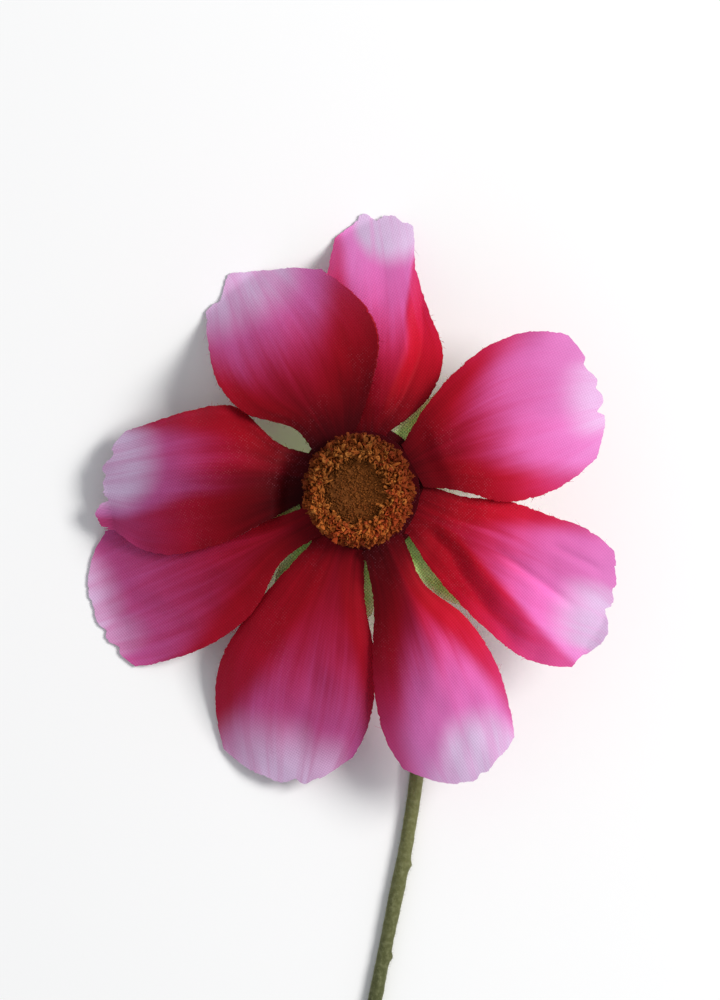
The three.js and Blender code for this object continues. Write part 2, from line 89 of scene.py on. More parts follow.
WHORL_LEVEL = 0.5  # front and back whorl lie this far above and below the bloom plane
CALYX_LEVEL = -1.5
NECK_START = 8.4  # radius where a petal starts, in its whorl's plate
NECK_FLAT = 10.5  # up to this radius a petal lies in its whorl's plane
NECK_EASE = 3.0  # length over which it takes up its own shape
LAY_BEND = 0.8  # how softly a petal bends where it lies down, in mm
CLOTH = 0.32  # thickness of petals and sepals
PLATE_HALF = 0.45 * CLOTH  # half the thickness of a joined middle
TIP_POWER = 2.5  # how square a petal's tip is
EDGE_POWER = 14  # keeps the roughness of a cut to the edge
UNEVENNESS = 0.07  # soft unevenness of the cloth, and its wavelength
UNEVEN_LENGTH = 6.0
WAVER = 0.16  # wavering of the margins, and its wavelength
WAVER_LENGTH = 7.0
MARGIN_POWER = 4
WASH_POWER = 4  # how square the pale wash is
PAINTED_SHADING_ZERO = 0.4  # the value that stands for no painted shading; above it is painted shade, below it painted light
UNDERSIDE = 1.0  # the same value on a cloth's underside
UNDERSIDE_FROM: Span = (0.96, 1.0)  # range of that value in which a material takes it for one
BLEND = 0.3  # place across over which the left and right painted shading meet
MARGIN_FROM = 0.35  # share of the length from which a petal's margins waver, and over which
MARGIN_OVER = 0.2
MARGIN_APART = 50  # sets the margins' ripples apart from each other and from the cloth's
PAINTED_SHADING_FROM = 0.4  # share of the length from which the tip's painted shading comes in, and over which
PAINTED_SHADING_OVER = 0.4
WASH_LEAD = 0.4  # how much of a wash's soft start lies before its place
WASH_GAIN = 1.6  # how full a wash is at its sides
CREASE_END = 0.3  # share of a crease's length over which it comes in and fades
SPINE_STEP = 0.001  # step for the slope of a middle line
ROUND_PLATE = 96  # segments of a petal whorl's joined middle
GOLDEN_ANGLE = 2.39996  # radians; turning by it each time spreads points evenly


class Whorl(Enum):
    """The two fabric cut-outs, four petals each."""

    BACK = "petal_whorl_back"
    FRONT = "petal_whorl_front"

    @property
    def level(self) -> float:
        """Its height over the bloom plane."""
        return WHORL_LEVEL if self is Whorl.FRONT else -WHORL_LEVEL


def through(stations: Values, values: Values, at: Array) -> Array:
    """A smooth curve through values at stations.

    Between two stations it is a cubic whose slope at each inner station is the mean of its
    neighbours' slopes, each weighted by the other's length. Outside the stations it is level.

    Args:
        stations: increasing places.
        values: the curve's value at each place.
        at: where to read it.

    Returns:
        The values there, in the shape of at.
    """
    x, y = np.array(stations, float), np.array(values, float)
    step = np.diff(x)
    rise = np.diff(y) / step
    slope = np.empty_like(y)
    slope[0], slope[-1] = rise[0], rise[-1]
    slope[1:-1] = (rise[:-1] * step[1:] + rise[1:] * step[:-1]) / (step[:-1] + step[1:])
    place = np.clip(at, x[0], x[-1])
    i = np.clip(np.searchsorted(x, place, side="right") - 1, 0, len(step) - 1)
    h = step[i]
    t = (place - x[i]) / h
    t2, t3 = t * t, t * t * t
    start = (2 * t3 - 3 * t2 + 1) * y[i] + (t3 - 2 * t2 + t) * h * slope[i]
    return start + (3 * t2 - 2 * t3) * y[i + 1] + (t3 - t2) * h * slope[i + 1]


def ease(t: Array) -> Array:
    """0 up to t = 0, 1 from t = 1 on, and 3t^2 - 2t^3 between."""
    c = np.clip(t, 0, 1)
    return c * c * (3 - 2 * c)


def laid(height: Array) -> Array:
    """Heights of a sheet's middle, bent level by half a hyperbola where it meets the surface."""
    over = height - CLOTH / 2
    return CLOTH / 2 + (over + np.sqrt(over**2 + LAY_BEND**2)) / 2


def flat_place(reach: Array, width: Array, degrees: float) -> tuple[Array, Array]:
    """X and y of places at a reach along a direction and a width to the left of it.

    Args:
        reach: distance along the direction.
        width: distance to its left, below zero to its right.
        degrees: the direction's angle from +X.

    Returns:
        X and y, each in the shape of reach.
    """
    angle = math.radians(degrees)
    x = reach * math.cos(angle) - width * math.sin(angle)
    return x, reach * math.sin(angle) + width * math.cos(angle)


def unit(vectors: Array) -> Array:
    """The vectors, each divided by its length."""
    return vectors / np.maximum(np.linalg.norm(vectors, axis=-1, keepdims=True), 1e-12)


def ripples(x: Array, y: Array, wavelength: float, seed: int, waves: int = 9) -> Array:
    """Soft random relief, about -1 to 1: the mean of plane waves in seeded directions.

    Each wave is the sine of its own direction's distance, with a wavelength within 0.6 to 1.6
    times the given one and a phase of its own.

    Args:
        x: first coordinate of each point.
        y: second coordinate of each point.
        wavelength: the usual wavelength, in the coordinates' unit.
        seed: of the random draw.
        waves: how many waves are added.

    Returns:
        The relief at each point.
    """
    draw = np.random.default_rng(seed)
    angle = draw.uniform(0, 2 * np.pi, waves)
    length = wavelength * draw.uniform(0.6, 1.6, waves)
    phase = draw.uniform(0, 2 * np.pi, waves)
    total = np.zeros(np.broadcast(x, y).shape)
    for a, w, p in zip(angle, length, phase):
        total += np.sin(2 * np.pi * (x * np.cos(a) + y * np.sin(a)) / w + p)
    return total / math.sqrt(waves)


@dataclass(frozen=True)
class Bloom:
    """The bloom's place and lean, in millimetres in the part's frame."""

    x: float = 1.67
    y: float = 42.17
    height: float = 17.0
    slope_x: float = 0.20
    slope_y: float = 0.05

    def plane(self, x: Array, y: Array) -> Array:
        """Height of the bloom plane over the surface, at places round the bloom's centre."""
        return self.height + self.slope_x * x + self.slope_y * y

    @property
    def axis(self) -> Array:
        """The direction that the bloom faces."""
        return unit(np.array([-self.slope_x, -self.slope_y, 1.0]))

    def lean(self, points: Array) -> Array:
        """Points given with the bloom's axis upright, turned with it and raised to its plane.

        The turn is the shortest one from upright to the axis: a point's part along the turn's own
        axis stays, and the rest turns in the plane of the two directions.

        Args:
            points: rows of x, y and height over the bloom plane.

        Returns:
            The same points as rows of x, y and z round the bloom's centre.
        """
        up, axis = np.array([0.0, 0.0, 1.0]), self.axis
        cross, cosine = np.cross(up, axis), axis[2]
        k = np.array([[0, -cross[2], cross[1]], [cross[2], 0, -cross[0]], [-cross[1], cross[0], 0]])
        turn = np.eye(3) + k + k @ k / (1 + cosine)
        return points @ turn.T + np.array([0.0, 0.0, self.height])

    def placed(self, points: Array) -> Array:
        """Millimetres round the bloom's centre to metres in the part's frame."""
        return (points + np.array([self.x, self.y, 0.0])) * MM


BLOOM = Bloom()


@dataclass
class Patchwork:
    """Vertices, faces and per-vertex values of one piece, gathered patch by patch."""

    points: list[Array] = field(default_factory=list)
    quads: list[Array] = field(default_factory=list)
    triangles: list[Array] = field(default_factory=list)
    dyes_and_shades: list[Array] = field(default_factory=list)
    cloths: list[Array] = field(default_factory=list)
    lies: list[Array] = field(default_factory=list)
    count: int = 0

    def add(
        self,
        points: Array,
        quads: Array | None = None,
        triangles: Array | None = None,
        dye: Array | None = None,
        cloth: Array | None = None,
        lie: Array | None = None,
    ) -> None:
        """Adds a patch.

        Args:
            points: its vertices, rows of three, in millimetres round the bloom's centre.
            quads: rows of four indices into points.
            triangles: rows of three indices into points.
            dye: four values a vertex, kept as the attribute "dye". None stands for zeros.
            cloth: two values a vertex, kept as the UV map "cloth". None stands for zeros.
            lie: two values a vertex, kept as the UV map "lie". None stands for zeros.
        """
        flat = points.reshape(-1, 3)
        if quads is not None:
            self.quads.append(quads + self.count)
        if triangles is not None:
            self.triangles.append(triangles + self.count)
        self.points.append(flat)
        self.dyes_and_shades.append(np.zeros((len(flat), 4)) if dye is None else dye.reshape(-1, 4))
        self.cloths.append(np.zeros((len(flat), 2)) if cloth is None else cloth.reshape(-1, 2))
        self.lies.append(np.zeros((len(flat), 2)) if lie is None else lie.reshape(-1, 2))
        self.count += len(flat)

    def piece(self, name: str, finish: bpy.types.Material, sharp_degrees: float = 50) -> bpy.types.Object:
        """The gathered patches as one object at the origin.

        Args:
            name: the piece's name.
            finish: its material.
            sharp_degrees: edges whose faces turn by more than this stay sharp.

        Returns:
            The new object, linked to the scene.
        """
        quads = np.concatenate(self.quads) if self.quads else np.zeros((0, 4), int)
        triangles = np.concatenate(self.triangles) if self.triangles else np.zeros((0, 3), int)
        corners = np.concatenate([quads.ravel(), triangles.ravel()]).astype(np.int32)
        starts = np.concatenate(
            [np.arange(len(quads)) * 4, len(quads) * 4 + np.arange(len(triangles)) * 3]
        ).astype(np.int32)
        mesh = bpy.data.meshes.new(name)
        mesh.vertices.add(self.count)
        places = BLOOM.placed(np.concatenate(self.points))
        mesh.vertices.foreach_set("co", places.astype(np.float32).ravel())
        mesh.loops.add(len(corners))
        mesh.loops.foreach_set("vertex_index", corners)
        mesh.polygons.add(len(starts))
        mesh.polygons.foreach_set("loop_start", starts)
        mesh.update(calc_edges=True)
        dye = mesh.attributes.new("dye", "FLOAT_COLOR", "POINT")
        dye.data.foreach_set("color", np.concatenate(self.dyes_and_shades).astype(np.float32).ravel())
        for label, values in (("cloth", self.cloths), ("lie", self.lies)):
            chart = mesh.uv_layers.new(name=label)
            chart.data.foreach_set("uv", np.concatenate(values)[corners].astype(np.float32).ravel())
        mesh.polygons.foreach_set("use_smooth", np.ones(len(starts), bool))
        mesh.set_sharp_from_angle(angle=math.radians(sharp_degrees))
        mesh.materials.append(finish)
        mesh.validate()
        made = bpy.data.objects.new(name, mesh)
        bpy.context.scene.collection.objects.link(made)
        return made


def grid_quads(rows: int, columns: int, closed: bool = False, looped: bool = False) -> Array:
    """Quads of a grid of vertices numbered row by row, facing row direction x column direction.

    Args:
        rows: number of rows of vertices.
        columns: number of vertices a row.
        closed: True where the last column joins the first.
        looped: True where the last row joins the first.

    Returns:
        Rows of four vertex numbers.
    """
    i = np.arange(rows if looped else rows - 1)[:, None]
    j = np.arange(columns if closed else columns - 1)[None, :]
    n, k = (i + 1) % rows, (j + 1) % columns
    cells = [i * columns + j, n * columns + j, n * columns + k, i * columns + k]
    return np.stack([c.ravel() for c in np.broadcast_arrays(*cells)], axis=1)


def turned(profile: list[tuple[float, float]], segments: int) -> Array:
    """A profile of radius and height, turned once round the upright axis.

    The profile runs outwards over the top, down the outside and inwards below, so that the faces
    of grid_quads point outwards.

    Args:
        profile: rows of radius and height.
        segments: points a turn.

    Returns:
        Points by profile row and segment.
    """
    angle = np.linspace(0, 2 * np.pi, segments, endpoint=False)
    radius, height = np.array(profile, float).T[..., None]
    return np.stack(
        np.broadcast_arrays(radius * np.cos(angle), radius * np.sin(angle), height), axis=-1
    )


def rods(
    roots: Array,
    directions: Array,
    bends: Array,
    lengths: Array,
    radii: Array,
    sides: int = 3,
    stations: Values = (0.0, 0.5, 1.0),
    swell: Values = (1.0, 0.7, 0.4),
) -> tuple[Array, Array, Array]:
    """Many thin closed rods, each along a parabola from its root.

    At a share t of its length a rod's middle is root + length (direction t + bend t^2), and its
    radius there is its own times the swell. Stations that turn back make a hollow in its end.

    Args:
        roots: where each rod starts.
        directions: unit vectors in which they start.
        bends: how far each has turned aside at its end, in its lengths.
        lengths: of the rods.
        radii: of the rods.
        sides: sides of their section.
        stations: shares of the length at which they have a section.
        swell: the section's size at each station.

    Returns:
        The points by rod, station and side, then the quads and triangles of all of them.
    """
    t = np.array(stations)[None, :, None]
    run = directions[:, None] * t + bends[:, None] * t**2
    middle = roots[:, None] + lengths[:, None, None] * run
    level = np.where(np.abs(directions[:, 2:]) < 0.8, [[0.0, 0.0, 1.0]], [[1.0, 0.0, 0.0]])
    aside = unit(np.cross(directions, level))
    up = np.cross(directions, aside)
    angle = np.linspace(0, 2 * np.pi, sides, endpoint=False)[None, :, None]
    spoke = np.cos(angle) * aside[:, None] - np.sin(angle) * up[:, None]
    radius = radii[:, None, None, None] * np.array(swell)[None, :, None, None]
    points = middle[:, :, None] + radius * spoke[:, None]
    rings = len(stations)
    first = np.arange(len(roots))[:, None, None] * rings * sides
    quads = (grid_quads(rings, sides, closed=True)[None] + first).reshape(-1, 4)
    k = np.arange(1, sides - 1)
    low = np.stack([0 * k, k, k + 1], axis=1)
    high = low[:, ::-1] + (rings - 1) * sides
    triangles = (np.concatenate([low, high])[None] + first).reshape(-1, 3)
    return points, quads, triangles


def closed_sheet(middle: Array, thickness: float) -> tuple[Array, Array]:
    """A closed sheet of cloth round a grid of points.

    Both faces stand off half the thickness along the grid's normal, which is the cross product of
    the row and column differences, and a wall joins them all round. Nothing goes under the
    surface: there the underside is level, and the upper face lies a thickness over it.

    Args:
        middle: rows x columns x 3 points of the sheet's middle.
        thickness: of the cloth.

    Returns:
        The vertices, upper face first, and the quads.
    """
    rows, columns = middle.shape[:2]
    normal = unit(np.cross(np.gradient(middle, axis=0), np.gradient(middle, axis=1)))
    upper, under = middle + normal * thickness / 2, middle - normal * thickness / 2
    upper[..., 2] = np.maximum(upper[..., 2], thickness)
    under[..., 2] = np.maximum(under[..., 2], 0.0)
    size = rows * columns
    face = grid_quads(rows, columns)
    number = np.arange(size).reshape(rows, columns)
    rim = np.concatenate([number[:-1, 0], number[-1, :-1], number[:0:-1, -1], number[0, :0:-1]])
    after = np.roll(rim, -1)
    wall = np.stack([rim, rim + size, after + size, after], axis=1)
    quads = np.concatenate([face, face[:, ::-1] + size, wall])
    return np.concatenate([upper.reshape(-1, 3), under.reshape(-1, 3)]), quads


def cloth_grid(rows: int, columns: int) -> tuple[Array, Array]:
    """A sheet's two parameters over a grid: along by row, and across by column."""
    along, across = np.meshgrid(np.linspace(0, 1, rows), np.linspace(-1, 1, columns), indexing="ij")
    return along, across


def plate_ring(level: float, hole: float, radius: float, segments: int) -> Array:
    """A joined middle's points: a flat ring a little thinner than its petals, at its level."""
    high, low = level + PLATE_HALF, level - PLATE_HALF
    return turned([(hole, high), (radius, high), (radius, low), (hole, low)], segments)


def end_fans(count: int, sides: int) -> Array:
    """Triangles that close both ends of a swept grid, round two points that follow its own.

    Args:
        count: vertices of the grid.
        sides: vertices a row.

    Returns:
        Rows of three vertex numbers, the first row's fan before the last row's.
    """
    k = np.arange(sides)
    after = (k + 1) % sides
    last = count - sides
    first_fan = np.stack([0 * k + count, k, after], axis=1)
    last_fan = np.stack([0 * k + count + 1, last + after, last + k], axis=1)
    return np.concatenate([first_fan, last_fan])


def reach_along(points: Array) -> Array:
    """Distance of each point from the first one, along the line through them."""
    return np.concatenate([[0], np.cumsum(np.linalg.norm(np.diff(points, axis=0), axis=1))])


def settle(piece: bpy.types.Object, slot: str, *nodes: str) -> bpy.types.Object:
    """Puts a piece on the part's body in the place of its solids, and reports it.

    Args:
        piece: the finished piece.
        slot: the record's material slot; not used.
        nodes: the solids that it stands for.

    Returns:
        The piece.
    """
    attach(piece, "root")
    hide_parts(*nodes)
    LOG.info("%s: %d faces for %s", piece.name, len(piece.data.polygons), ", ".join(nodes))
    return piece


@dataclass(frozen=True)
class Fold:
    """A crest along a petal, behind which the cloth drops away.

    Crest gives its place across and drop the fall behind it, each at the STATIONS.
    """

    side: int
    crest: Values
    drop: Values
    width: float


@dataclass(frozen=True)
class Crease:
    """A pressed line from one place to another, each given along the length and across.

    Rise is its height in millimetres, below zero for a groove, and width its half width.
    """

    start: tuple[float, float]
    end: tuple[float, float]
    rise: float
    width: float


@dataclass(frozen=True)
class Wash:
    """The pale part of the print at a tip.

    Place and spread are across, depth is from the tip, and soft is the share of the length over
    which it comes in.
    """

    place: float
    spread: float
    depth: float
    strength: float = 1.0
    soft: float = 0.16


@dataclass(frozen=True)
class Cut:
    """How rough a cut edge of the cloth is: fine teeth, and a deeper nick here and there.

    The edge's random heights are a step apart, and there are as many as knots. A tip's edge is
    read as if it were twice tip_half long.
    """

    fine: float = 0.06
    nick: float = 0.2
    nick_share: float = 0.05
    step: float = 0.3
    knots: int = 400
    tip_half: float = 10

    def rough(self, reach: Array, seed: int) -> Array:
        """Roughness along an edge: seeded values at even steps, joined by straight lines.

        Args:
            reach: distance along the edge, in millimetres.
            seed: of the random draw.

        Returns:
            How far the edge stands out there, in millimetres.
        """
        draw = np.random.default_rng(seed)
        nicks = self.nick * (draw.random(self.knots) < self.nick_share)
        stand_out = draw.normal(0, self.fine, self.knots) - nicks
        return np.interp(reach / self.step, np.arange(self.knots), stand_out)

    def side(self, reach: Array, across: Array, seed: int) -> Array:
        """Roughness of the margin on the side that across is on."""
        return np.where(across > 0, self.rough(reach, seed), self.rough(reach, seed + 1))

    def tip(self, across: Array, seed: int) -> Array:
        """Roughness of the tip's edge, by the place across."""
        return self.rough((across + 1) * self.tip_half, seed + 2)


@dataclass(frozen=True)
class Petal:
    """One petal's outline, form and print.

    Angles are in degrees from +X, counter-clockwise. Length is the tip's distance from the
    bloom's centre. Rows give a value at each of the STATIONS: half widths left and right of the
    middle line, heights of the middle line over the bloom plane, and heights of the margins over
    the middle line. Corner says how far along the tip's two corners lie, left first. A notch in
    the tip has its place across, depth and width. Bands give the place across from which the
    print is red at each side, the run scales and shifts the print along the petal, and the
    painted shadings say how much darker it is painted left and right of the middle line, at the
    neck and at the tip: painted shade, or painted light where they are below zero.
    """

    name: str
    whorl: Whorl
    base: float
    tip: float
    length: float
    seed: int
    left: Values
    right: Values
    corner: tuple[float, float]
    notches: tuple[tuple[float, float, float], ...]
    middle: Values
    left_margin: Values
    right_margin: Values
    power: tuple[float, float]
    left_band: Values
    right_band: Values
    band_softness: tuple[float, float]
    washes: tuple[Wash, ...]
    fold: Fold | None = None
    creases: tuple[Crease, ...] = ()
    run: tuple[float, float] = (1.0, 0.0)
    neck_painted_shading: tuple[float, float] = (0.0, 0.0)
    tip_painted_shading: tuple[float, float] = (0.0, 0.0)

    def side(self, across: Array, left: Array | float, right: Array | float) -> Array:
        """The left value where across is above zero, and the right one elsewhere."""
        return np.where(across > 0, left, right)

    def spine(self, share: Array) -> Array:
        """Points of the middle line: polar, with the angle turning evenly from base to tip.

        Args:
            share: share of the length.

        Returns:
            X and y there, round the bloom's centre.
        """
        turn = np.clip((share - STATIONS[0]) / (1 - STATIONS[0]), 0, 1)
        angle = np.radians(self.base + (self.tip - self.base) * turn)
        radius = share * self.length
        return np.stack([radius * np.cos(angle), radius * np.sin(angle)], axis=-1)

    def half(self, share: Array, across: Array) -> Array:
        """Half width at a share of the length, on the side that across is on."""
        left, right = (through(STATIONS, row, share) for row in (self.left, self.right))
        return self.side(across, left, right)

    def share(self, along: Array, across: Array, cut: Cut) -> Array:
        """Share of the length at each place of the grid.

        It runs evenly from the neck to the tip's edge, which is drawn back towards its corners by
        the 2.5th power of across, dips at each notch in a bell shape, and is roughened by the cut.

        Args:
            along: 0 at the neck, 1 at the tip.
            across: -1 at the right margin, 1 at the left one.
            cut: how rough the cut edge is.

        Returns:
            The share at each place.
        """
        start = NECK_START / self.length
        corner = self.side(across, *self.corner)
        end = 1 - (1 - corner) * np.abs(across) ** TIP_POWER
        for place, depth, width in self.notches:
            end = end - depth * np.exp(-(((across - place) / width) ** 2))
        plain = start + (end - start) * along
        return plain + cut.tip(across, self.seed) / self.length * along**EDGE_POWER

    def height(self, share: Array, across: Array) -> Array:
        """Height over the whorl's level: middle line, margins and fold, eased in past the neck.

        The margin's height grows with a power of the place across. Behind the fold's crest the
        drop is taken up smoothly over the fold's width.

        Args:
            share: share of the length.
            across: -1 at the right margin, 1 at the left one.

        Returns:
            The height at each place.
        """
        left, right = (through(STATIONS, row, share) for row in (self.left_margin, self.right_margin))
        margin = self.side(across, left, right)
        power = self.side(across, *self.power)
        high = through(STATIONS, self.middle, share) + margin * np.abs(across) ** power
        if self.fold:
            past = self.fold.side * across - through(STATIONS, self.fold.crest, share)
            high = high - through(STATIONS, self.fold.drop, share) * ease(past / self.fold.width)
        return high * ease((share * self.length - NECK_FLAT) / NECK_EASE)

    def relief(self, share: Array, across: Array, cloth: Array) -> Array:
        """Fine form of the cloth: creases, soft unevenness and wavering margins.

        A crease is a bell shape over the distance to its line, eased in at both of its ends. The
        unevenness is ripples over the flat cloth, and the margins waver by ripples along them.

        Args:
            share: share of the length.
            across: -1 at the right margin, 1 at the left one.
            cloth: places on the flat cloth, in millimetres.

        Returns:
            Heights to add, in millimetres.
        """
        x, y = share * self.length, across * self.half(share, across)
        fine = UNEVENNESS * ripples(cloth[..., 0], cloth[..., 1], UNEVEN_LENGTH, self.seed)
        margin = np.abs(across) ** MARGIN_POWER * ease((share - MARGIN_FROM) / MARGIN_OVER)
        apart = np.sign(across) * MARGIN_APART
        fine += WAVER * margin * ripples(x, apart, WAVER_LENGTH, self.seed + MARGIN_APART)
        for crease in self.creases:
            ends = np.array([crease.start, crease.end])
            reach = self.half(ends[:, 0], ends[:, 1]) * ends[:, 1]
            (x0, x1), (y0, y1) = ends[:, 0] * self.length, reach
            run = np.hypot(x1 - x0, y1 - y0)
            t = ((x - x0) * (x1 - x0) + (y - y0) * (y1 - y0)) / run**2
            off = ((x - x0) * (y1 - y0) - (y - y0) * (x1 - x0)) / run
            window = ease(t / CREASE_END) * ease((1 - t) / CREASE_END)
            fine += crease.rise * window * np.exp(-((off / crease.width) ** 2))
        return fine * ease((share * self.length - NECK_FLAT) / NECK_EASE)

    def surface(self, along: Array, across: Array, cut: Cut) -> tuple[Array, Array, Array]:
        """The middle of the cloth over the grid.

        A place lies on the middle line's normal, at across times the half width, and its height is
        the bloom plane's there plus the whorl's level, the petal's own height and its relief, bent
        level where it meets the surface.

        Args:
            along: 0 at the neck, 1 at the tip.
            across: -1 at the right margin, 1 at the left one.
            cut: how rough the cut edge is.

        Returns:
            The points, their shares of the length, and their places on the flat cloth.
        """
        share = self.share(along, across, cut)
        tangent = unit(self.spine(share + SPINE_STEP) - self.spine(share - SPINE_STEP))
        rough = cut.side(share * self.length, across, self.seed) * np.abs(across) ** EDGE_POWER
        width = across * self.half(share, across) + np.sign(across) * rough
        normal = np.stack([-tangent[..., 1], tangent[..., 0]], axis=-1)
        place = self.spine(share) + normal * width[..., None]
        cloth = np.stack(flat_place(share * self.length, width, self.base), axis=-1)
        high = self.height(share, across) + self.relief(share, across, cloth)
        z = laid(BLOOM.plane(place[..., 0], place[..., 1]) + self.whorl.level + high)
        return np.concatenate([place, z[..., None]], axis=-1), share, cloth

    def dye(self, share: Array, across: Array) -> Array:
        """The four values of the print and its painted shading at each place.

        They are the place in the print from neck to tip, the red band at the sides, the pale wash
        at the tip, and the painted shading added to its zero, which the underside's copy doesn't keep.

        Args:
            share: share of the length.
            across: -1 at the right margin, 1 at the left one.

        Returns:
            Four values a place.
        """
        left, right = (through(STATIONS, row, share) for row in (self.left_band, self.right_band))
        threshold = self.side(across, left, right)
        softness = self.side(across, *self.band_softness)
        band = ease((np.abs(across) - threshold) / softness + 0.5)
        wash = np.zeros_like(share)
        for one in self.washes:
            bell = np.exp(-(((across - one.place) / one.spread) ** WASH_POWER))
            inner = ease((share - 1 + one.depth * bell) / one.soft + WASH_LEAD)
            inner = inner * ease(WASH_GAIN * bell)
            wash = np.maximum(wash, one.strength * inner)
        scale, shift = self.run
        # painted shading, left and right, from the neck towards the tip: painted shade above its zero,
        # painted light below it
        leftness, outer = ease(across / BLEND + 0.5), ease((share - PAINTED_SHADING_FROM) / PAINTED_SHADING_OVER)
        painted_shadings = (self.neck_painted_shading, self.tip_painted_shading)
        neck, tip = (right + (left - right) * leftness for left, right in painted_shadings)
        painted_shading = PAINTED_SHADING_ZERO + neck + (tip - neck) * outer
        return np.stack([scale * share + shift, band, wash, painted_shading], axis=-1)


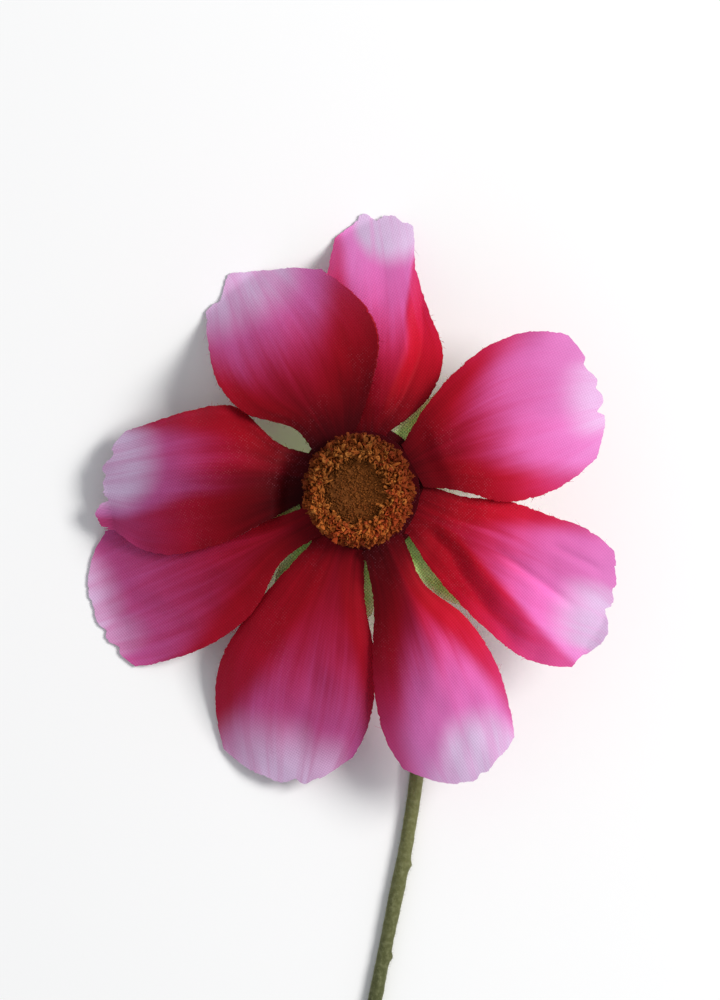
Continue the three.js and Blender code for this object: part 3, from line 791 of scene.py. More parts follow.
PETALS: tuple[Petal, ...] = (
    Petal(
        name="top", whorl=Whorl.BACK, base=77, tip=87, length=41.4, seed=101,
        left=(3.7, 5.2, 7.2, 8.4, 8.4, 7.0, 5.8),
        right=(1.8, 6.8, 8.8, 6.6, 4.8, 5.2, 5.2),
        corner=(0.945, 0.945),
        notches=((0.0, 0.018, 0.12), (0.35, -0.012, 0.2), (-0.72, 0.014, 0.12)),
        middle=(0, 0.6, -0.2, -3.4, -9.0, -15.2, -19.4),
        left_margin=(0, -0.8, -1.8, -2.2, -2.0, -1.6, -1.0),
        right_margin=(0, -0.4, -0.6, -0.6, -0.8, -1.0, -0.8),
        power=(2, 2),
        fold=Fold(RIGHT, (0.1, 0.16, 0.28, 0.5, 0.8, 0.95, 1.0), (0, 1.6, 3.0, 3.2, 1.2, 0, 0), 0.35),
        left_band=(0, 0.3, 0.5, 0.58, 0.68, 0.8, 1.05),
        right_band=(0, 0.14, 0.36, 0.46, 0.87, 1.2, 1.3),
        band_softness=(0.3, 0.12),
        run=(0.9, 0.03),
        neck_painted_shading=(-0.12, -0.16),
        tip_painted_shading=(-0.16, 0.08),
        washes=(Wash(-0.4, 0.95, 0.17, soft=0.1),),
    ),
    Petal(
        name="top_left", whorl=Whorl.FRONT, base=121, tip=118, length=36.8, seed=102,
        left=(3.2, 4.0, 9.4, 11.0, 9.9, 8.2, 7.2),
        right=(3.8, 9.0, 13.2, 14.0, 12.2, 9.8, 8.0),
        corner=(0.93, 0.885),
        notches=((0.68, 0.032, 0.14), (0.33, -0.044, 0.3), (-0.45, 0.012, 0.2)),
        middle=(0, 0.6, 0.2, -2.8, -8.0, -12.8, -16.2),
        left_margin=(0, 0, 0.2, -0.2, -1.0, -1.0, -0.4),
        right_margin=(0, 0.8, 2.2, 3.0, 2.4, 1.0, 0),
        power=(2, 3),
        left_band=(0, 0.25, 0.52, 0.8, 1.0, 1.15, 1.3),
        right_band=(0, 0.1, 0.3, 0.5, 0.8, 1.15, 1.4),
        band_softness=(0.4, 0.45),
        run=(0.9, -0.05),
        neck_painted_shading=(0.2, 0.06),
        tip_painted_shading=(0.14, 0.0),
        washes=(Wash(0.3, 1.1, 0.17, 0.9, 0.2),),
    ),
    Petal(
        name="left", whorl=Whorl.BACK, base=168, tip=178, length=39.0, seed=103,
        left=(3.8, 7.0, 10.3, 11.9, 12.2, 10.3, 7.2),
        right=(3.6, 4.8, 9.5, 9.1, 7.6, 6.6, 6.2),
        corner=(1.0, 0.89),
        notches=((-0.55, 0.03, 0.13), (-0.12, 0.014, 0.09), (0.4, 0.01, 0.08), (0.68, -0.028, 0.2)),
        middle=(0, 1.9, 3.1, 2.6, 0.2, -2.6, -4.4),
        left_margin=(0, 0.2, 0, -0.2, -0.2, -0.2, -0.1),
        right_margin=(0, -1.6, -4.0, -5.4, -5.0, -4.2, -3.6),
        power=(2, 2),
        fold=Fold(LEFT, (0.4, 0.4, 0.34, 0.34, 0.42, 0.48, 0.5), (0, 0.4, 1.8, 2.4, 2.2, 1.4, 0.6), 0.6),
        left_band=(0, 0.2, 0.32, 0.3, 0.4, 0.56, 0.74),
        right_band=(0, 0.3, 0.46, 0.62, 0.82, 1.05, 1.3),
        band_softness=(0.2, 0.35),
        run=(0.85, -0.01),
        neck_painted_shading=(0.54, 0.0),
        tip_painted_shading=(0.28, 0.24),
        washes=(Wash(-0.36, 0.84, 0.2),),
    ),
    Petal(
        name="lower_left", whorl=Whorl.FRONT, base=209, tip=206, length=44.8, seed=104,
        left=(2.9, 3.7, 8.3, 10.1, 10.0, 9.0, 7.8),
        right=(2.0, 3.2, 8.0, 10.6, 11.6, 11.9, 11.9),
        corner=(0.935, 0.85),
        notches=((0.25, 0.018, 0.1), (0.6, 0.02, 0.09), (-0.15, 0.01, 0.1)),
        middle=(0, -0.4, -1.6, -3.6, -6.2, -8.4, -9.6),
        left_margin=(0, -0.8, -1.8, -2.2, -1.6, -0.8, 0),
        right_margin=(0, -1.6, -2.6, -2.6, -2.0, -1.0, 0),
        power=(2, 2),
        left_band=(0, 0.2, 0.42, 0.66, 1.0, 1.2, 1.3),
        right_band=(0, 0.4, 0.7, 0.95, 1.15, 1.3, 1.4),
        band_softness=(0.45, 0.4),
        run=(0.5, 0.19),
        neck_painted_shading=(0.24, -0.02),
        tip_painted_shading=(0.2, 0.2),
        washes=(Wash(-0.3, 0.6, 0.09, 0.9), Wash(0.4, 0.4, 0.12, 0.45)),
    ),
    Petal(
        name="bottom_left", whorl=Whorl.BACK, base=250, tip=257, length=45.5, seed=105,
        left=(3.9, 5.8, 8.8, 10.3, 9.9, 7.9, 6.4),
        right=(4.5, 7.4, 10.9, 13.3, 12.8, 10.8, 9.4),
        corner=(0.89, 0.91),
        notches=((0.02, 0.018, 0.12), (-0.45, 0.008, 0.09), (0.45, 0.008, 0.08)),
        middle=(0, 0, -0.6, -2.2, -4.8, -7.4, -9.4),
        left_margin=(0, -1.0, -2.0, -2.6, -2.4, -1.8, -1.0),
        right_margin=(0, -1.4, -3.5, -4.5, -4.2, -2.7, -1.4),
        power=(2, 2.5),
        left_band=(0, 0.35, 0.6, 0.78, 0.98, 1.2, 1.3),
        right_band=(0, 0.1, 0.3, 0.45, 0.78, 1.15, 1.3),
        band_softness=(0.3, 0.4),
        run=(0.5, 0.22),
        neck_painted_shading=(0.14, 0.08),
        tip_painted_shading=(0.36, 0.18),
        washes=(Wash(-0.36, 0.84, 0.165, 0.95, 0.22), Wash(0.5, 0.5, 0.14, 0.7)),
    ),
    Petal(
        name="bottom", whorl=Whorl.FRONT, base=295, tip=291, length=46.8, seed=106,
        left=(2.6, 2.6, 6.6, 8.4, 8.4, 7.5, 6.6),
        right=(4.0, 5.3, 8.2, 10.2, 10.7, 9.2, 7.8),
        corner=(0.905, 0.90),
        notches=((0.6, 0.02, 0.25), (0.22, 0.016, 0.1), (-0.2, 0.006, 0.08)),
        middle=(0, 0.4, 0.4, -0.4, -2.0, -3.8, -5.2),
        left_margin=(0, -0.8, -1.6, -2.0, -1.8, -1.2, -0.8),
        right_margin=(0, -1.4, -3.2, -4.0, -3.4, -2.2, -1.4),
        power=(2, 2.5),
        left_band=(0, 0.15, 0.42, 0.66, 0.92, 1.15, 1.3),
        right_band=(0, 0.2, 0.42, 0.56, 0.74, 0.88, 1.0),
        band_softness=(0.35, 0.4),
        run=(0.97, 0.02),
        neck_painted_shading=(-0.3, 0.36),
        tip_painted_shading=(0.0, 0.06),
        washes=(Wash(0.3, 0.8, 0.2, soft=0.13), Wash(-0.25, 0.5, 0.1, 0.8)),
    ),
    Petal(
        name="lower_right", whorl=Whorl.BACK, base=337, tip=334, length=41.2, seed=107,
        left=(4.5, 5.2, 7.4, 8.2, 9.0, 8.0, 6.4),
        right=(3.5, 6.8, 9.5, 11.4, 12.4, 11.4, 9.8),
        corner=(0.91, 0.985),
        notches=((0.42, 0.018, 0.09), (-0.02, 0.02, 0.09), (-0.4, -0.036, 0.28), (0.75, 0.008, 0.08)),
        middle=(0, 0.2, 0.2, -0.8, -3.0, -5.4, -7.2),
        left_margin=(0, -0.8, -1.6, -1.8, -1.6, -1.2, -0.8),
        right_margin=(0, -0.4, -0.4, -0.4, -0.8, -1.2, -0.8),
        power=(2, 2),
        fold=Fold(RIGHT, (0, 0.05, 0.3, 0.46, 0.58, 0.7, 0.8), (0, 1.0, 1.9, 1.9, 1.2, 0.3, 0), 0.4),
        left_band=(0, 0.2, 0.5, 0.76, 0.98, 1.2, 1.3),
        right_band=(0, 0.02, 0.26, 0.42, 0.58, 0.76, 0.94),
        band_softness=(0.4, 0.14),
        run=(0.8, 0.1),
        neck_painted_shading=(-0.3, -0.25),
        tip_painted_shading=(0.12, -0.2),
        washes=(Wash(-0.15, 0.55, 0.16, 0.9, 0.2),),
        creases=(
            Crease((0.50, 0.02), (0.92, -0.2), -0.42, 0.75),
            Crease((0.68, 0.52), (0.93, 0.6), -0.3, 0.7),
        ),
    ),
    Petal(
        name="right", whorl=Whorl.FRONT, base=28, tip=19, length=38.4, seed=108,
        left=(3.2, 6.8, 10.3, 12.6, 12.9, 11.2, 9.4),
        right=(3.9, 6.6, 10.3, 11.2, 10.2, 7.9, 5.8),
        corner=(0.91, 0.94),
        notches=((0.6, 0.028, 0.1), (0.3, 0.016, 0.08), (-0.08, 0.03, 0.1)),
        middle=(0, 0.8, 0.8, -0.6, -3.6, -6.6, -9.0),
        left_margin=(0, -0.8, -1.8, -2.2, -2.0, -1.4, -0.8),
        right_margin=(0, -0.6, -1.6, -2.2, -2.2, -1.6, -1.0),
        power=(2, 2),
        left_band=(0, 0.3, 0.58, 0.8, 1.0, 1.2, 1.3),
        right_band=(0, 0.2, 0.42, 0.6, 0.82, 1.1, 1.28),
        band_softness=(0.45, 0.4),
        run=(0.95, 0.02),
        neck_painted_shading=(0.0, 0.02),
        tip_painted_shading=(0.16, 0.06),
        washes=(Wash(0.05, 0.65, 0.13, 0.68),),
    ),
)


@dataclass
class PetalWhorl:
    """One fabric cut-out: a plate with four petals, its cut edges frayed.

    Thread places are the two powers of a beta draw along the margin. A thread's length is the
    first of thread_lengths plus an exponential draw of the second, up to the longest, and
    thread_sizes is the range of its radius in thread radii.
    """

    whorl: Whorl
    rows: int = 104
    columns: int = 72
    front_plate_radius: float = 8.9
    back_plate_radius: float = 9.9
    # The plate takes the necks' darkest stop: dark crimson print deepened by painted shade round the
    # disc.
    plate_print_and_shade: float = 0.17
    plate_hole: float = 1.35
    cut: Cut = field(default_factory=Cut)
    threads: int = 70
    thread_radius: float = 0.035
    thread_longest: float = 1.2
    thread_root: float = 0.1
    thread_places: Span = (1.6, 2.2)
    thread_lean: float = 0.9
    thread_lift: float = 0.4
    thread_bend: float = 0.45
    thread_lengths: Span = (0.12, 0.22)
    thread_sizes: Span = (0.7, 1.2)

    def add_petal(self, patch: Patchwork, petal: Petal) -> None:
        """Adds a petal's closed sheet and the threads that stand out of its margins.

        Args:
            patch: the piece that it becomes part of.
            petal: which one.
        """
        along, across = cloth_grid(self.rows, self.columns)
        middle, share, cloth = petal.surface(along, across, self.cut)
        points, quads = closed_sheet(middle, CLOTH)
        face = petal.dye(share, across)
        under = face.copy()
        under[..., 3] = UNDERSIDE
        lie = np.stack([across + 7 * petal.seed, share], axis=-1)
        patch.add(
            points,
            quads,
            dye=np.stack([face, under]),
            cloth=np.stack([cloth, cloth]),
            lie=np.stack([lie, lie]),
        )
        for edge, inner in ((0, 2), (-1, -3)):
            self.add_threads(patch, middle[:, edge], middle[:, inner], face[:, edge], petal.seed + edge)

    def add_threads(self, patch: Patchwork, edge: Array, inner: Array, dye: Array, seed: int) -> None:
        """Adds short loose threads along a margin, thicker at the neck's half of it.

        Args:
            patch: the piece that they become part of.
            edge: points of the margin.
            inner: points a little inside the margin.
            dye: the print and its painted shading along the margin.
            seed: of the random draw.
        """
        draw = np.random.default_rng(seed)
        place = (draw.beta(*self.thread_places, self.threads) * len(edge)).astype(int)
        place = np.clip(place, 1, len(edge) - 2)
        outward = unit(edge[place] - inner[place])
        along = unit(edge[place + 1] - edge[place - 1])
        side, lift = draw.normal(0, self.thread_lean, (2, self.threads, 1))
        directions = unit(outward + along * side + np.array([0.0, 0.0, self.thread_lift]) * lift)
        bends = unit(draw.normal(0, 1, (self.threads, 3))) * self.thread_bend
        shortest, longer = self.thread_lengths
        lengths = shortest + draw.exponential(longer, self.threads)
        radii = self.thread_radius * draw.uniform(*self.thread_sizes, self.threads)
        roots = edge[place] - outward * self.thread_root
        lengths = np.minimum(lengths, self.thread_longest)
        points, quads, triangles = rods(roots, directions, bends, lengths, radii)
        points[..., 2] = np.maximum(points[..., 2], 0)
        print_and_shade_of = np.repeat(dye[place], points.shape[1] * points.shape[2], axis=0)
        patch.add(points, quads, triangles, dye=print_and_shade_of)

    def add_plate(self, patch: Patchwork) -> None:
        """Adds the joined middle, with the necks' print and painted shade on its upper side.

        Args:
            patch: the piece that it becomes part of.
        """
        front = self.whorl is Whorl.FRONT
        radius = self.front_plate_radius if front else self.back_plate_radius
        ring = plate_ring(self.whorl.level, self.plate_hole, radius, ROUND_PLATE)
        dye = np.zeros((*ring.shape[:2], 4))
        dye[..., 0] = self.plate_print_and_shade
        dye[:2, :, 3], dye[2:, :, 3] = PAINTED_SHADING_ZERO, UNDERSIDE
        points = BLOOM.lean(ring.reshape(-1, 3))
        quads = grid_quads(*ring.shape[:2], closed=True, looped=True)
        patch.add(points, quads, dye=dye, cloth=points[:, :2])

    def build(self, finish: bpy.types.Material) -> bpy.types.Object:
        """Makes the whorl's piece in the place of its solid.

        Args:
            finish: the petals' cloth.

        Returns:
            The piece.
        """
        patch = Patchwork()
        self.add_plate(patch)
        for petal in PETALS:
            if petal.whorl is self.whorl:
                self.add_petal(patch, petal)
        return settle(patch.piece(f"{self.whorl.value}_cloth", finish), "petal_fabric", self.whorl.value)


@dataclass(frozen=True)
class Sepal:
    """One sepal: its axis in degrees, greatest half width, and length from the bloom's centre."""

    axis: float
    half_width: float
    length: float
    seed: int


@dataclass
class Calyx:
    """The green cut-out behind the petals: a plate with five pointed sepals.

    Widths are shares of the half width and drops are in millimetres, each at the stations. Each
    ease is the share of a sepal over which something comes in: the roughness from the point, the
    margins' drop from the plate, the veins from the middle line, the fine form from both ends.
    """

    sepals: tuple[Sepal, ...] = (
        Sepal(36, 5.2, 24, 201),
        Sepal(106, 5.6, 23, 202),
        Sepal(180, 5.4, 23, 203),
        Sepal(250, 7.6, 25, 204),
        Sepal(323, 5.6, 28, 205),
    )
    stations: Values = (0.28, 0.5, 0.7, 0.85, 1.0)
    widths: Values = (0.7, 0.94, 1.0, 0.72, 0.06)
    drops: Values = (0.0, -1.2, -3.4, -5.4, -7.6)
    margin_drop: float = -1.0
    start: float = 6.5
    plate_radius: float = 7.9
    plate_hole: float = 1.35
    rows: int = 70
    columns: int = 36
    plate_segments: int = 72
    midrib: float = 0.35
    midrib_half: float = 0.45
    vein: float = 0.05
    veins: float = 9.0
    vein_slant: float = 1.4
    point_ease: float = 0.1
    margin_ease: float = 0.4
    vein_ease: float = 0.3
    fine_ease: Span = (0.15, 0.2)
    cut: Cut = field(default_factory=lambda: Cut(fine=0.09, nick=0.25, nick_share=0.08))

    def surface(self, sepal: Sepal, along: Array, across: Array) -> tuple[Array, Array, Array]:
        """The middle of a sepal's cloth over the grid.

        A place is at its share of the length along the axis and at across times the half width
        beside it. The sepal bends down away from the petals, its margins drop with the square of
        across, a pressed midrib lowers its middle line, and slanting veins are a low wave.

        Args:
            sepal: which one.
            along: 0 at the plate, 1 at the point.
            across: -1 at the right margin, 1 at the left one.

        Returns:
            The points, their shares of the length, and their places on the flat cloth.
        """
        start = self.start / sepal.length
        share = start + (1 - start) * along
        reach = share * sepal.length
        rough = self.cut.side(reach, across, sepal.seed) * np.abs(across) ** EDGE_POWER
        width = across * sepal.half_width * through(self.stations, self.widths, share)
        width = width + np.sign(across) * rough * ease((1 - along) / self.point_ease)
        x, y = flat_place(reach, width, sepal.axis)
        drop = through(self.stations, self.drops, share)
        margin = self.margin_drop * across**2 * ease((share - start) / self.margin_ease)
        rib = -self.midrib * np.exp(-((width / self.midrib_half) ** 2))
        slant = np.cos(2 * np.pi * (self.veins * share - self.vein_slant * np.abs(across)))
        fine = rib + self.vein * slant * ease(np.abs(across) / self.vein_ease)
        near, far = self.fine_ease
        fine = fine * ease((share - start) / near) * ease((1 - along) / far)
        z = BLOOM.plane(x, y) + CALYX_LEVEL + drop + margin + fine
        return np.stack([x, y, z], axis=-1), share, np.stack([x, y], axis=-1)

    def build(self, finish: bpy.types.Material) -> bpy.types.Object:
        """Makes the calyx's piece in the place of its solid.

        Args:
            finish: the sepals' cloth.

        Returns:
            The piece.
        """
        patch = Patchwork()
        along, across = cloth_grid(self.rows, self.columns)
        for sepal in self.sepals:
            middle, share, cloth = self.surface(sepal, along, across)
            points, quads = closed_sheet(middle, CLOTH)
            dye = np.stack([share, np.abs(across), 0 * share, 0 * share], axis=-1)
            under = dye.copy()
            under[..., 3] = UNDERSIDE
            patch.add(points, quads, dye=np.stack([dye, under]), cloth=np.stack([cloth, cloth]))
        ring = plate_ring(CALYX_LEVEL, self.plate_hole, self.plate_radius, self.plate_segments)
        points = BLOOM.lean(ring.reshape(-1, 3))
        quads = grid_quads(*ring.shape[:2], closed=True, looped=True)
        patch.add(points, quads, cloth=points[:, :2])
        return settle(patch.piece("calyx_cloth", finish), "sepal_fabric", "calyx")


DISC_BASE = 1.15  # height of the disc's foot over the bloom plane
RING_INNER = 4.9
EYE_RADIUS = 4.85
BIT_SHARP = 70  # degrees of turn from which edges of the disc's pieces stay sharp


@dataclass(frozen=True)
class Bit:
    """One kind of granule: its sections, how far each is out of the painted shade at its root and in a
    tube's hollow, and the ranges of its size.
    """

    sides: int
    stations: Values
    swell: Values
    unshaded: Values
    lengths: Span
    radii: Span

    def add(
        self,
        patch: Patchwork,
        draw: np.random.Generator,
        form: tuple[Array, Array, Array, Array, Array],
        ragged: float,
        place: Array,
        lowest: float,
    ) -> None:
        """Adds granules of this kind, every vertex moved a little at random.

        Args:
            patch: the piece that they become part of.
            draw: the random draw.
            form: roots, directions, bends, lengths and radii, as rods takes them.
            ragged: how far a vertex is moved, in radii.
            place: each granule's place on its piece, kept as the dye's fourth value.
            lowest: height over the bloom plane under which none reaches.
        """
        points, quads, triangles = rods(*form, self.sides, self.stations, self.swell)
        points += draw.normal(0, ragged, points.shape) * form[-1][:, None, None, None]
        points[..., 2] = np.maximum(points[..., 2], lowest)
        dye = np.zeros((*points.shape[:3], 4))
        dye[..., 0] = draw.random(len(points))[:, None, None]
        # 0 where a section lies in the painted shade at the root or in a tube's hollow, 1 where it is out
        # of it
        dye[..., 1] = np.array(self.unshaded)[None, :, None]
        dye[..., 2] = draw.random(len(points))[:, None, None]
        dye[..., 3] = place[:, None, None]
        patch.add(BLOOM.lean(points.reshape(-1, 3)), quads, triangles, dye=dye)


OPEN_TUBE = Bit(
    sides=6,
    stations=(0.0, 0.5, 1.0, 0.97, 0.45),
    swell=(0.6, 0.8, 1.0, 0.55, 0.3),
    unshaded=(0.0, 0.5, 1.0, 0.97, 0.0),
    lengths=(0.6, 1.4),
    radii=(0.2, 0.4),
)
SOLID_CRUMB = Bit(
    sides=5,
    stations=(0.0, 0.4, 0.8, 1.0),
    swell=(0.7, 1.0, 0.8, 0.35),
    unshaded=(0.0, 0.4, 0.8, 1.0),
    lengths=(0.6, 1.4),
    radii=(0.1, 0.24),
)
EYE_GRANULE = Bit(
    sides=5,
    stations=(0.0, 0.45, 0.85, 1.0),
    swell=(0.9, 1.0, 0.75, 0.3),
    unshaded=(0.0, 0.5, 0.9, 1.0),
    lengths=(0.3, 0.55),
    radii=(0.1, 0.19),
)


@dataclass
class DiscRing:
    """The disc's domed ring, a lumpy core under crowded little open tubes and crumbs.

    The section is rows of radius and height, from its inner top to its foot. The core lies inside
    it by core_shrink and the lumps, towards core_middle, a radius and a height. The granules start
    at the first of places and go on over the second, both shares of the section, and a power
    below 1 sets them closer towards its foot. Turn, lean and bend are how far each strays.
    """

    section: tuple[tuple[float, float], ...] = (
        (4.9, 3.3), (5.6, 3.8), (6.4, 3.8), (7.2, 3.2), (7.7, 2.2), (7.9, 1.0), (7.5, 0.0),
    )
    rows: int = 44
    segments: int = 120
    core_shrink: float = 0.25
    core_inside: float = 1.7
    core_middle: Span = (6.0, 2.0)
    lump: float = 0.18
    lump_length: float = 1.5
    lump_shift: float = 0.25
    places: Span = (0.02, 0.9)
    place_power: float = 0.85
    turn: float = 0.1
    lean: float = 0.5
    bend: float = 0.22
    root_depth: float = 0.35
    outer_trim: float = 0.15
    ragged: float = 0.26
    tubes: int = 900
    crumbs: int = 900
    seed: int = 11

    def outline(self, share: Array) -> Array:
        """Places on the section.

        Args:
            share: shares of the way from its inner top to its foot.

        Returns:
            Radius and height at each.
        """
        line = np.array(self.section)
        reach = reach_along(line)
        at = share * reach[-1]
        return np.stack([np.interp(at, reach, line[:, k]) for k in range(2)], axis=-1)

    def add_core(self, patch: Patchwork) -> None:
        """Adds the core: the section turned once round, shrunk, and made lumpy by ripples.

        Args:
            patch: the piece that it becomes part of.
        """
        face = self.outline(np.linspace(0, 1, self.rows))
        below = np.array([[RING_INNER, 0.0], [RING_INNER, self.core_inside]])
        profile = np.concatenate([face, below]) + [0, DISC_BASE]
        ring = turned([tuple(p) for p in profile], self.segments)
        radius, height = self.core_middle
        inward = unit(np.array([radius, DISC_BASE + height]) - profile)
        angle = np.linspace(0, 2 * np.pi, self.segments, endpoint=False)[None, :]
        row = np.arange(len(profile))[:, None] * self.lump_shift
        x, y = radius * np.cos(angle) + row, radius * np.sin(angle) - row
        lumps = self.lump * ripples(x, y, self.lump_length, self.seed)
        depth = (self.core_shrink + lumps) * (profile[:, 1:2] > DISC_BASE + 0.1)
        ring[..., 0] += depth * inward[:, :1] * np.cos(angle)
        ring[..., 1] += depth * inward[:, :1] * np.sin(angle)
        ring[..., 2] += depth * inward[:, 1:]
        # the core takes the granules' dark root colour all over: painted shade between the granules
        dye = np.zeros((*ring.shape[:2], 4))
        dye[..., 0] = 0.2
        quads = grid_quads(len(profile), self.segments, closed=True, looped=True)
        patch.add(BLOOM.lean(ring.reshape(-1, 3)), quads, dye=dye)

    def add_bits(self, patch: Patchwork, kind: Bit, count: int, seed: int) -> None:
        """Adds granules of one kind, spread over the ring.

        Their places are evenly spread by the golden angle, with a random part, and they stand on
        the section's normal, leaning aside at random.

        Args:
            patch: the piece that they become part of.
            kind: of the granules.
            count: how many.
            seed: of the random draw.
        """
        draw = np.random.default_rng(seed)
        share = (np.arange(count) + draw.random(count)) / count
        share = self.places[0] + self.places[1] * share**self.place_power
        angle = np.arange(count) * GOLDEN_ANGLE + draw.normal(0, self.turn, count)
        radius, height = self.outline(share).T
        slope = unit(self.outline(share + 0.02) - self.outline(share - 0.02))
        outward, upward = -slope[:, 1], slope[:, 0]
        around = np.stack([np.cos(angle), np.sin(angle), 0 * angle], axis=-1)
        up = np.array([0.0, 0.0, 1.0])
        roots = around * (radius - self.root_depth * outward)[:, None]
        roots = roots + up * (DISC_BASE + height - self.root_depth * upward)[:, None]
        normal = around * outward[:, None] + up * np.maximum(upward, 0.05)[:, None]
        directions = unit(normal + draw.normal(0, self.lean, (count, 3)))
        bends = draw.normal(0, self.bend, (count, 3))
        lengths, radii = draw.uniform(*kind.lengths, count), draw.uniform(*kind.radii, count)
        lengths = lengths * (1 - self.outer_trim * np.maximum(outward, 0))
        form = (roots, directions, bends, lengths, radii)
        kind.add(patch, draw, form, self.ragged, place=share, lowest=DISC_BASE)

    def build(self, finish: bpy.types.Material) -> bpy.types.Object:
        """Makes the ring's piece in the place of its solid.

        Args:
            finish: the ring's material.

        Returns:
            The piece.
        """
        patch = Patchwork()
        self.add_core(patch)
        self.add_bits(patch, OPEN_TUBE, self.tubes, self.seed + 1)
        self.add_bits(patch, SOLID_CRUMB, self.crumbs, self.seed + 2)
        return settle(patch.piece("disc_ring_crumbs", finish, BIT_SHARP), "disc_florets", "disc_florets")


@dataclass
class DiscEye:
    """The disc's eye: a low hollowed plug, closely covered with fine granules.

    Inmost is the radius of its innermost ring of points, and the roughness of its top ends at
    smooth_from. Turn, lean and bend are how far each granule strays at random.
    """

    rise: float = 2.6
    rim_rise: float = 0.55
    inmost: float = 0.12
    rough: float = 0.07
    rough_length: float = 0.7
    smooth_from: float = 4.4
    socket_radius: float = 1.3
    socket_top: float = 3.2
    rows: int = 40
    segments: int = 96
    granules: int = 900
    root_depth: float = 0.22
    rim_length: float = 0.3
    turn: float = 0.4
    lean: float = 0.5
    bend: float = 0.2
    ragged: float = 0.25
    seed: int = 31

    def height(self, radius: Array) -> Array:
        """Height of the top over the bloom plane: hollow in the middle, rising to a rim."""
        rim = self.rim_rise * ease((radius - 0.6) / (EYE_RADIUS - 1.2))
        return DISC_BASE + self.rise + rim - 0.1

    def build(self, finish: bpy.types.Material) -> bpy.types.Object:
        """Makes the eye's piece in the place of its solid.

        The plug's top is the height over rings of growing radius, roughened by ripples. Its wall
        and the socket for the stem's end are plain. The granules follow the golden angle.

        Args:
            finish: the eye's material.

        Returns:
            The piece.
        """
        patch = Patchwork()
        radius = np.linspace(self.inmost, EYE_RADIUS, self.rows)
        profile = [(r, float(self.height(np.array(r)))) for r in radius]
        profile += [(EYE_RADIUS, DISC_BASE), (self.socket_radius, DISC_BASE)]
        profile += [(self.socket_radius, self.socket_top), (self.inmost, self.socket_top)]
        ring = turned(profile, self.segments)
        top = ring[: self.rows]
        lumps = self.rough * ripples(top[..., 0], top[..., 1], self.rough_length, self.seed)
        top[..., 2] += lumps * (radius < self.smooth_from)[:, None]
        poles = np.array([[0, 0, profile[0][1]], [0, 0, self.socket_top]])
        points = BLOOM.lean(np.concatenate([ring.reshape(-1, 3), poles]))
        # the plug takes the granules' dark root colour: painted shade under the granules
        dye = np.zeros((len(points), 4))
        dye[:, 0] = 0.35
        quads = grid_quads(len(profile), self.segments, closed=True)
        patch.add(points, quads, end_fans(len(profile) * self.segments, self.segments), dye=dye)
        self.add_granules(patch)
        return settle(patch.piece("disc_eye_granules", finish, BIT_SHARP), "disc_eye", "disc_eye")

    def add_granules(self, patch: Patchwork) -> None:
        """Adds the granules, larger towards the rim, each leaning at random.

        Args:
            patch: the piece that they become part of.
        """
        draw = np.random.default_rng(self.seed + 1)
        count = self.granules
        radius = (EYE_RADIUS - 0.25) * np.sqrt((np.arange(count) + 0.5) / count)
        angle = np.arange(count) * GOLDEN_ANGLE + draw.normal(0, self.turn, count)
        depth = self.height(radius) - self.root_depth
        roots = np.stack([radius * np.cos(angle), radius * np.sin(angle), depth], axis=-1)
        directions = unit(np.array([0.0, 0.0, 1.0]) + draw.normal(0, self.lean, (count, 3)))
        lengths = draw.uniform(*EYE_GRANULE.lengths, count)
        lengths = lengths + self.rim_length * (radius / EYE_RADIUS) ** 3
        radii = draw.uniform(*EYE_GRANULE.radii, count)
        form = (roots, directions, draw.normal(0, self.bend, (count, 3)), lengths, radii)
        EYE_GRANULE.add(patch, draw, form, self.ragged, place=np.zeros(count), lowest=DISC_BASE)


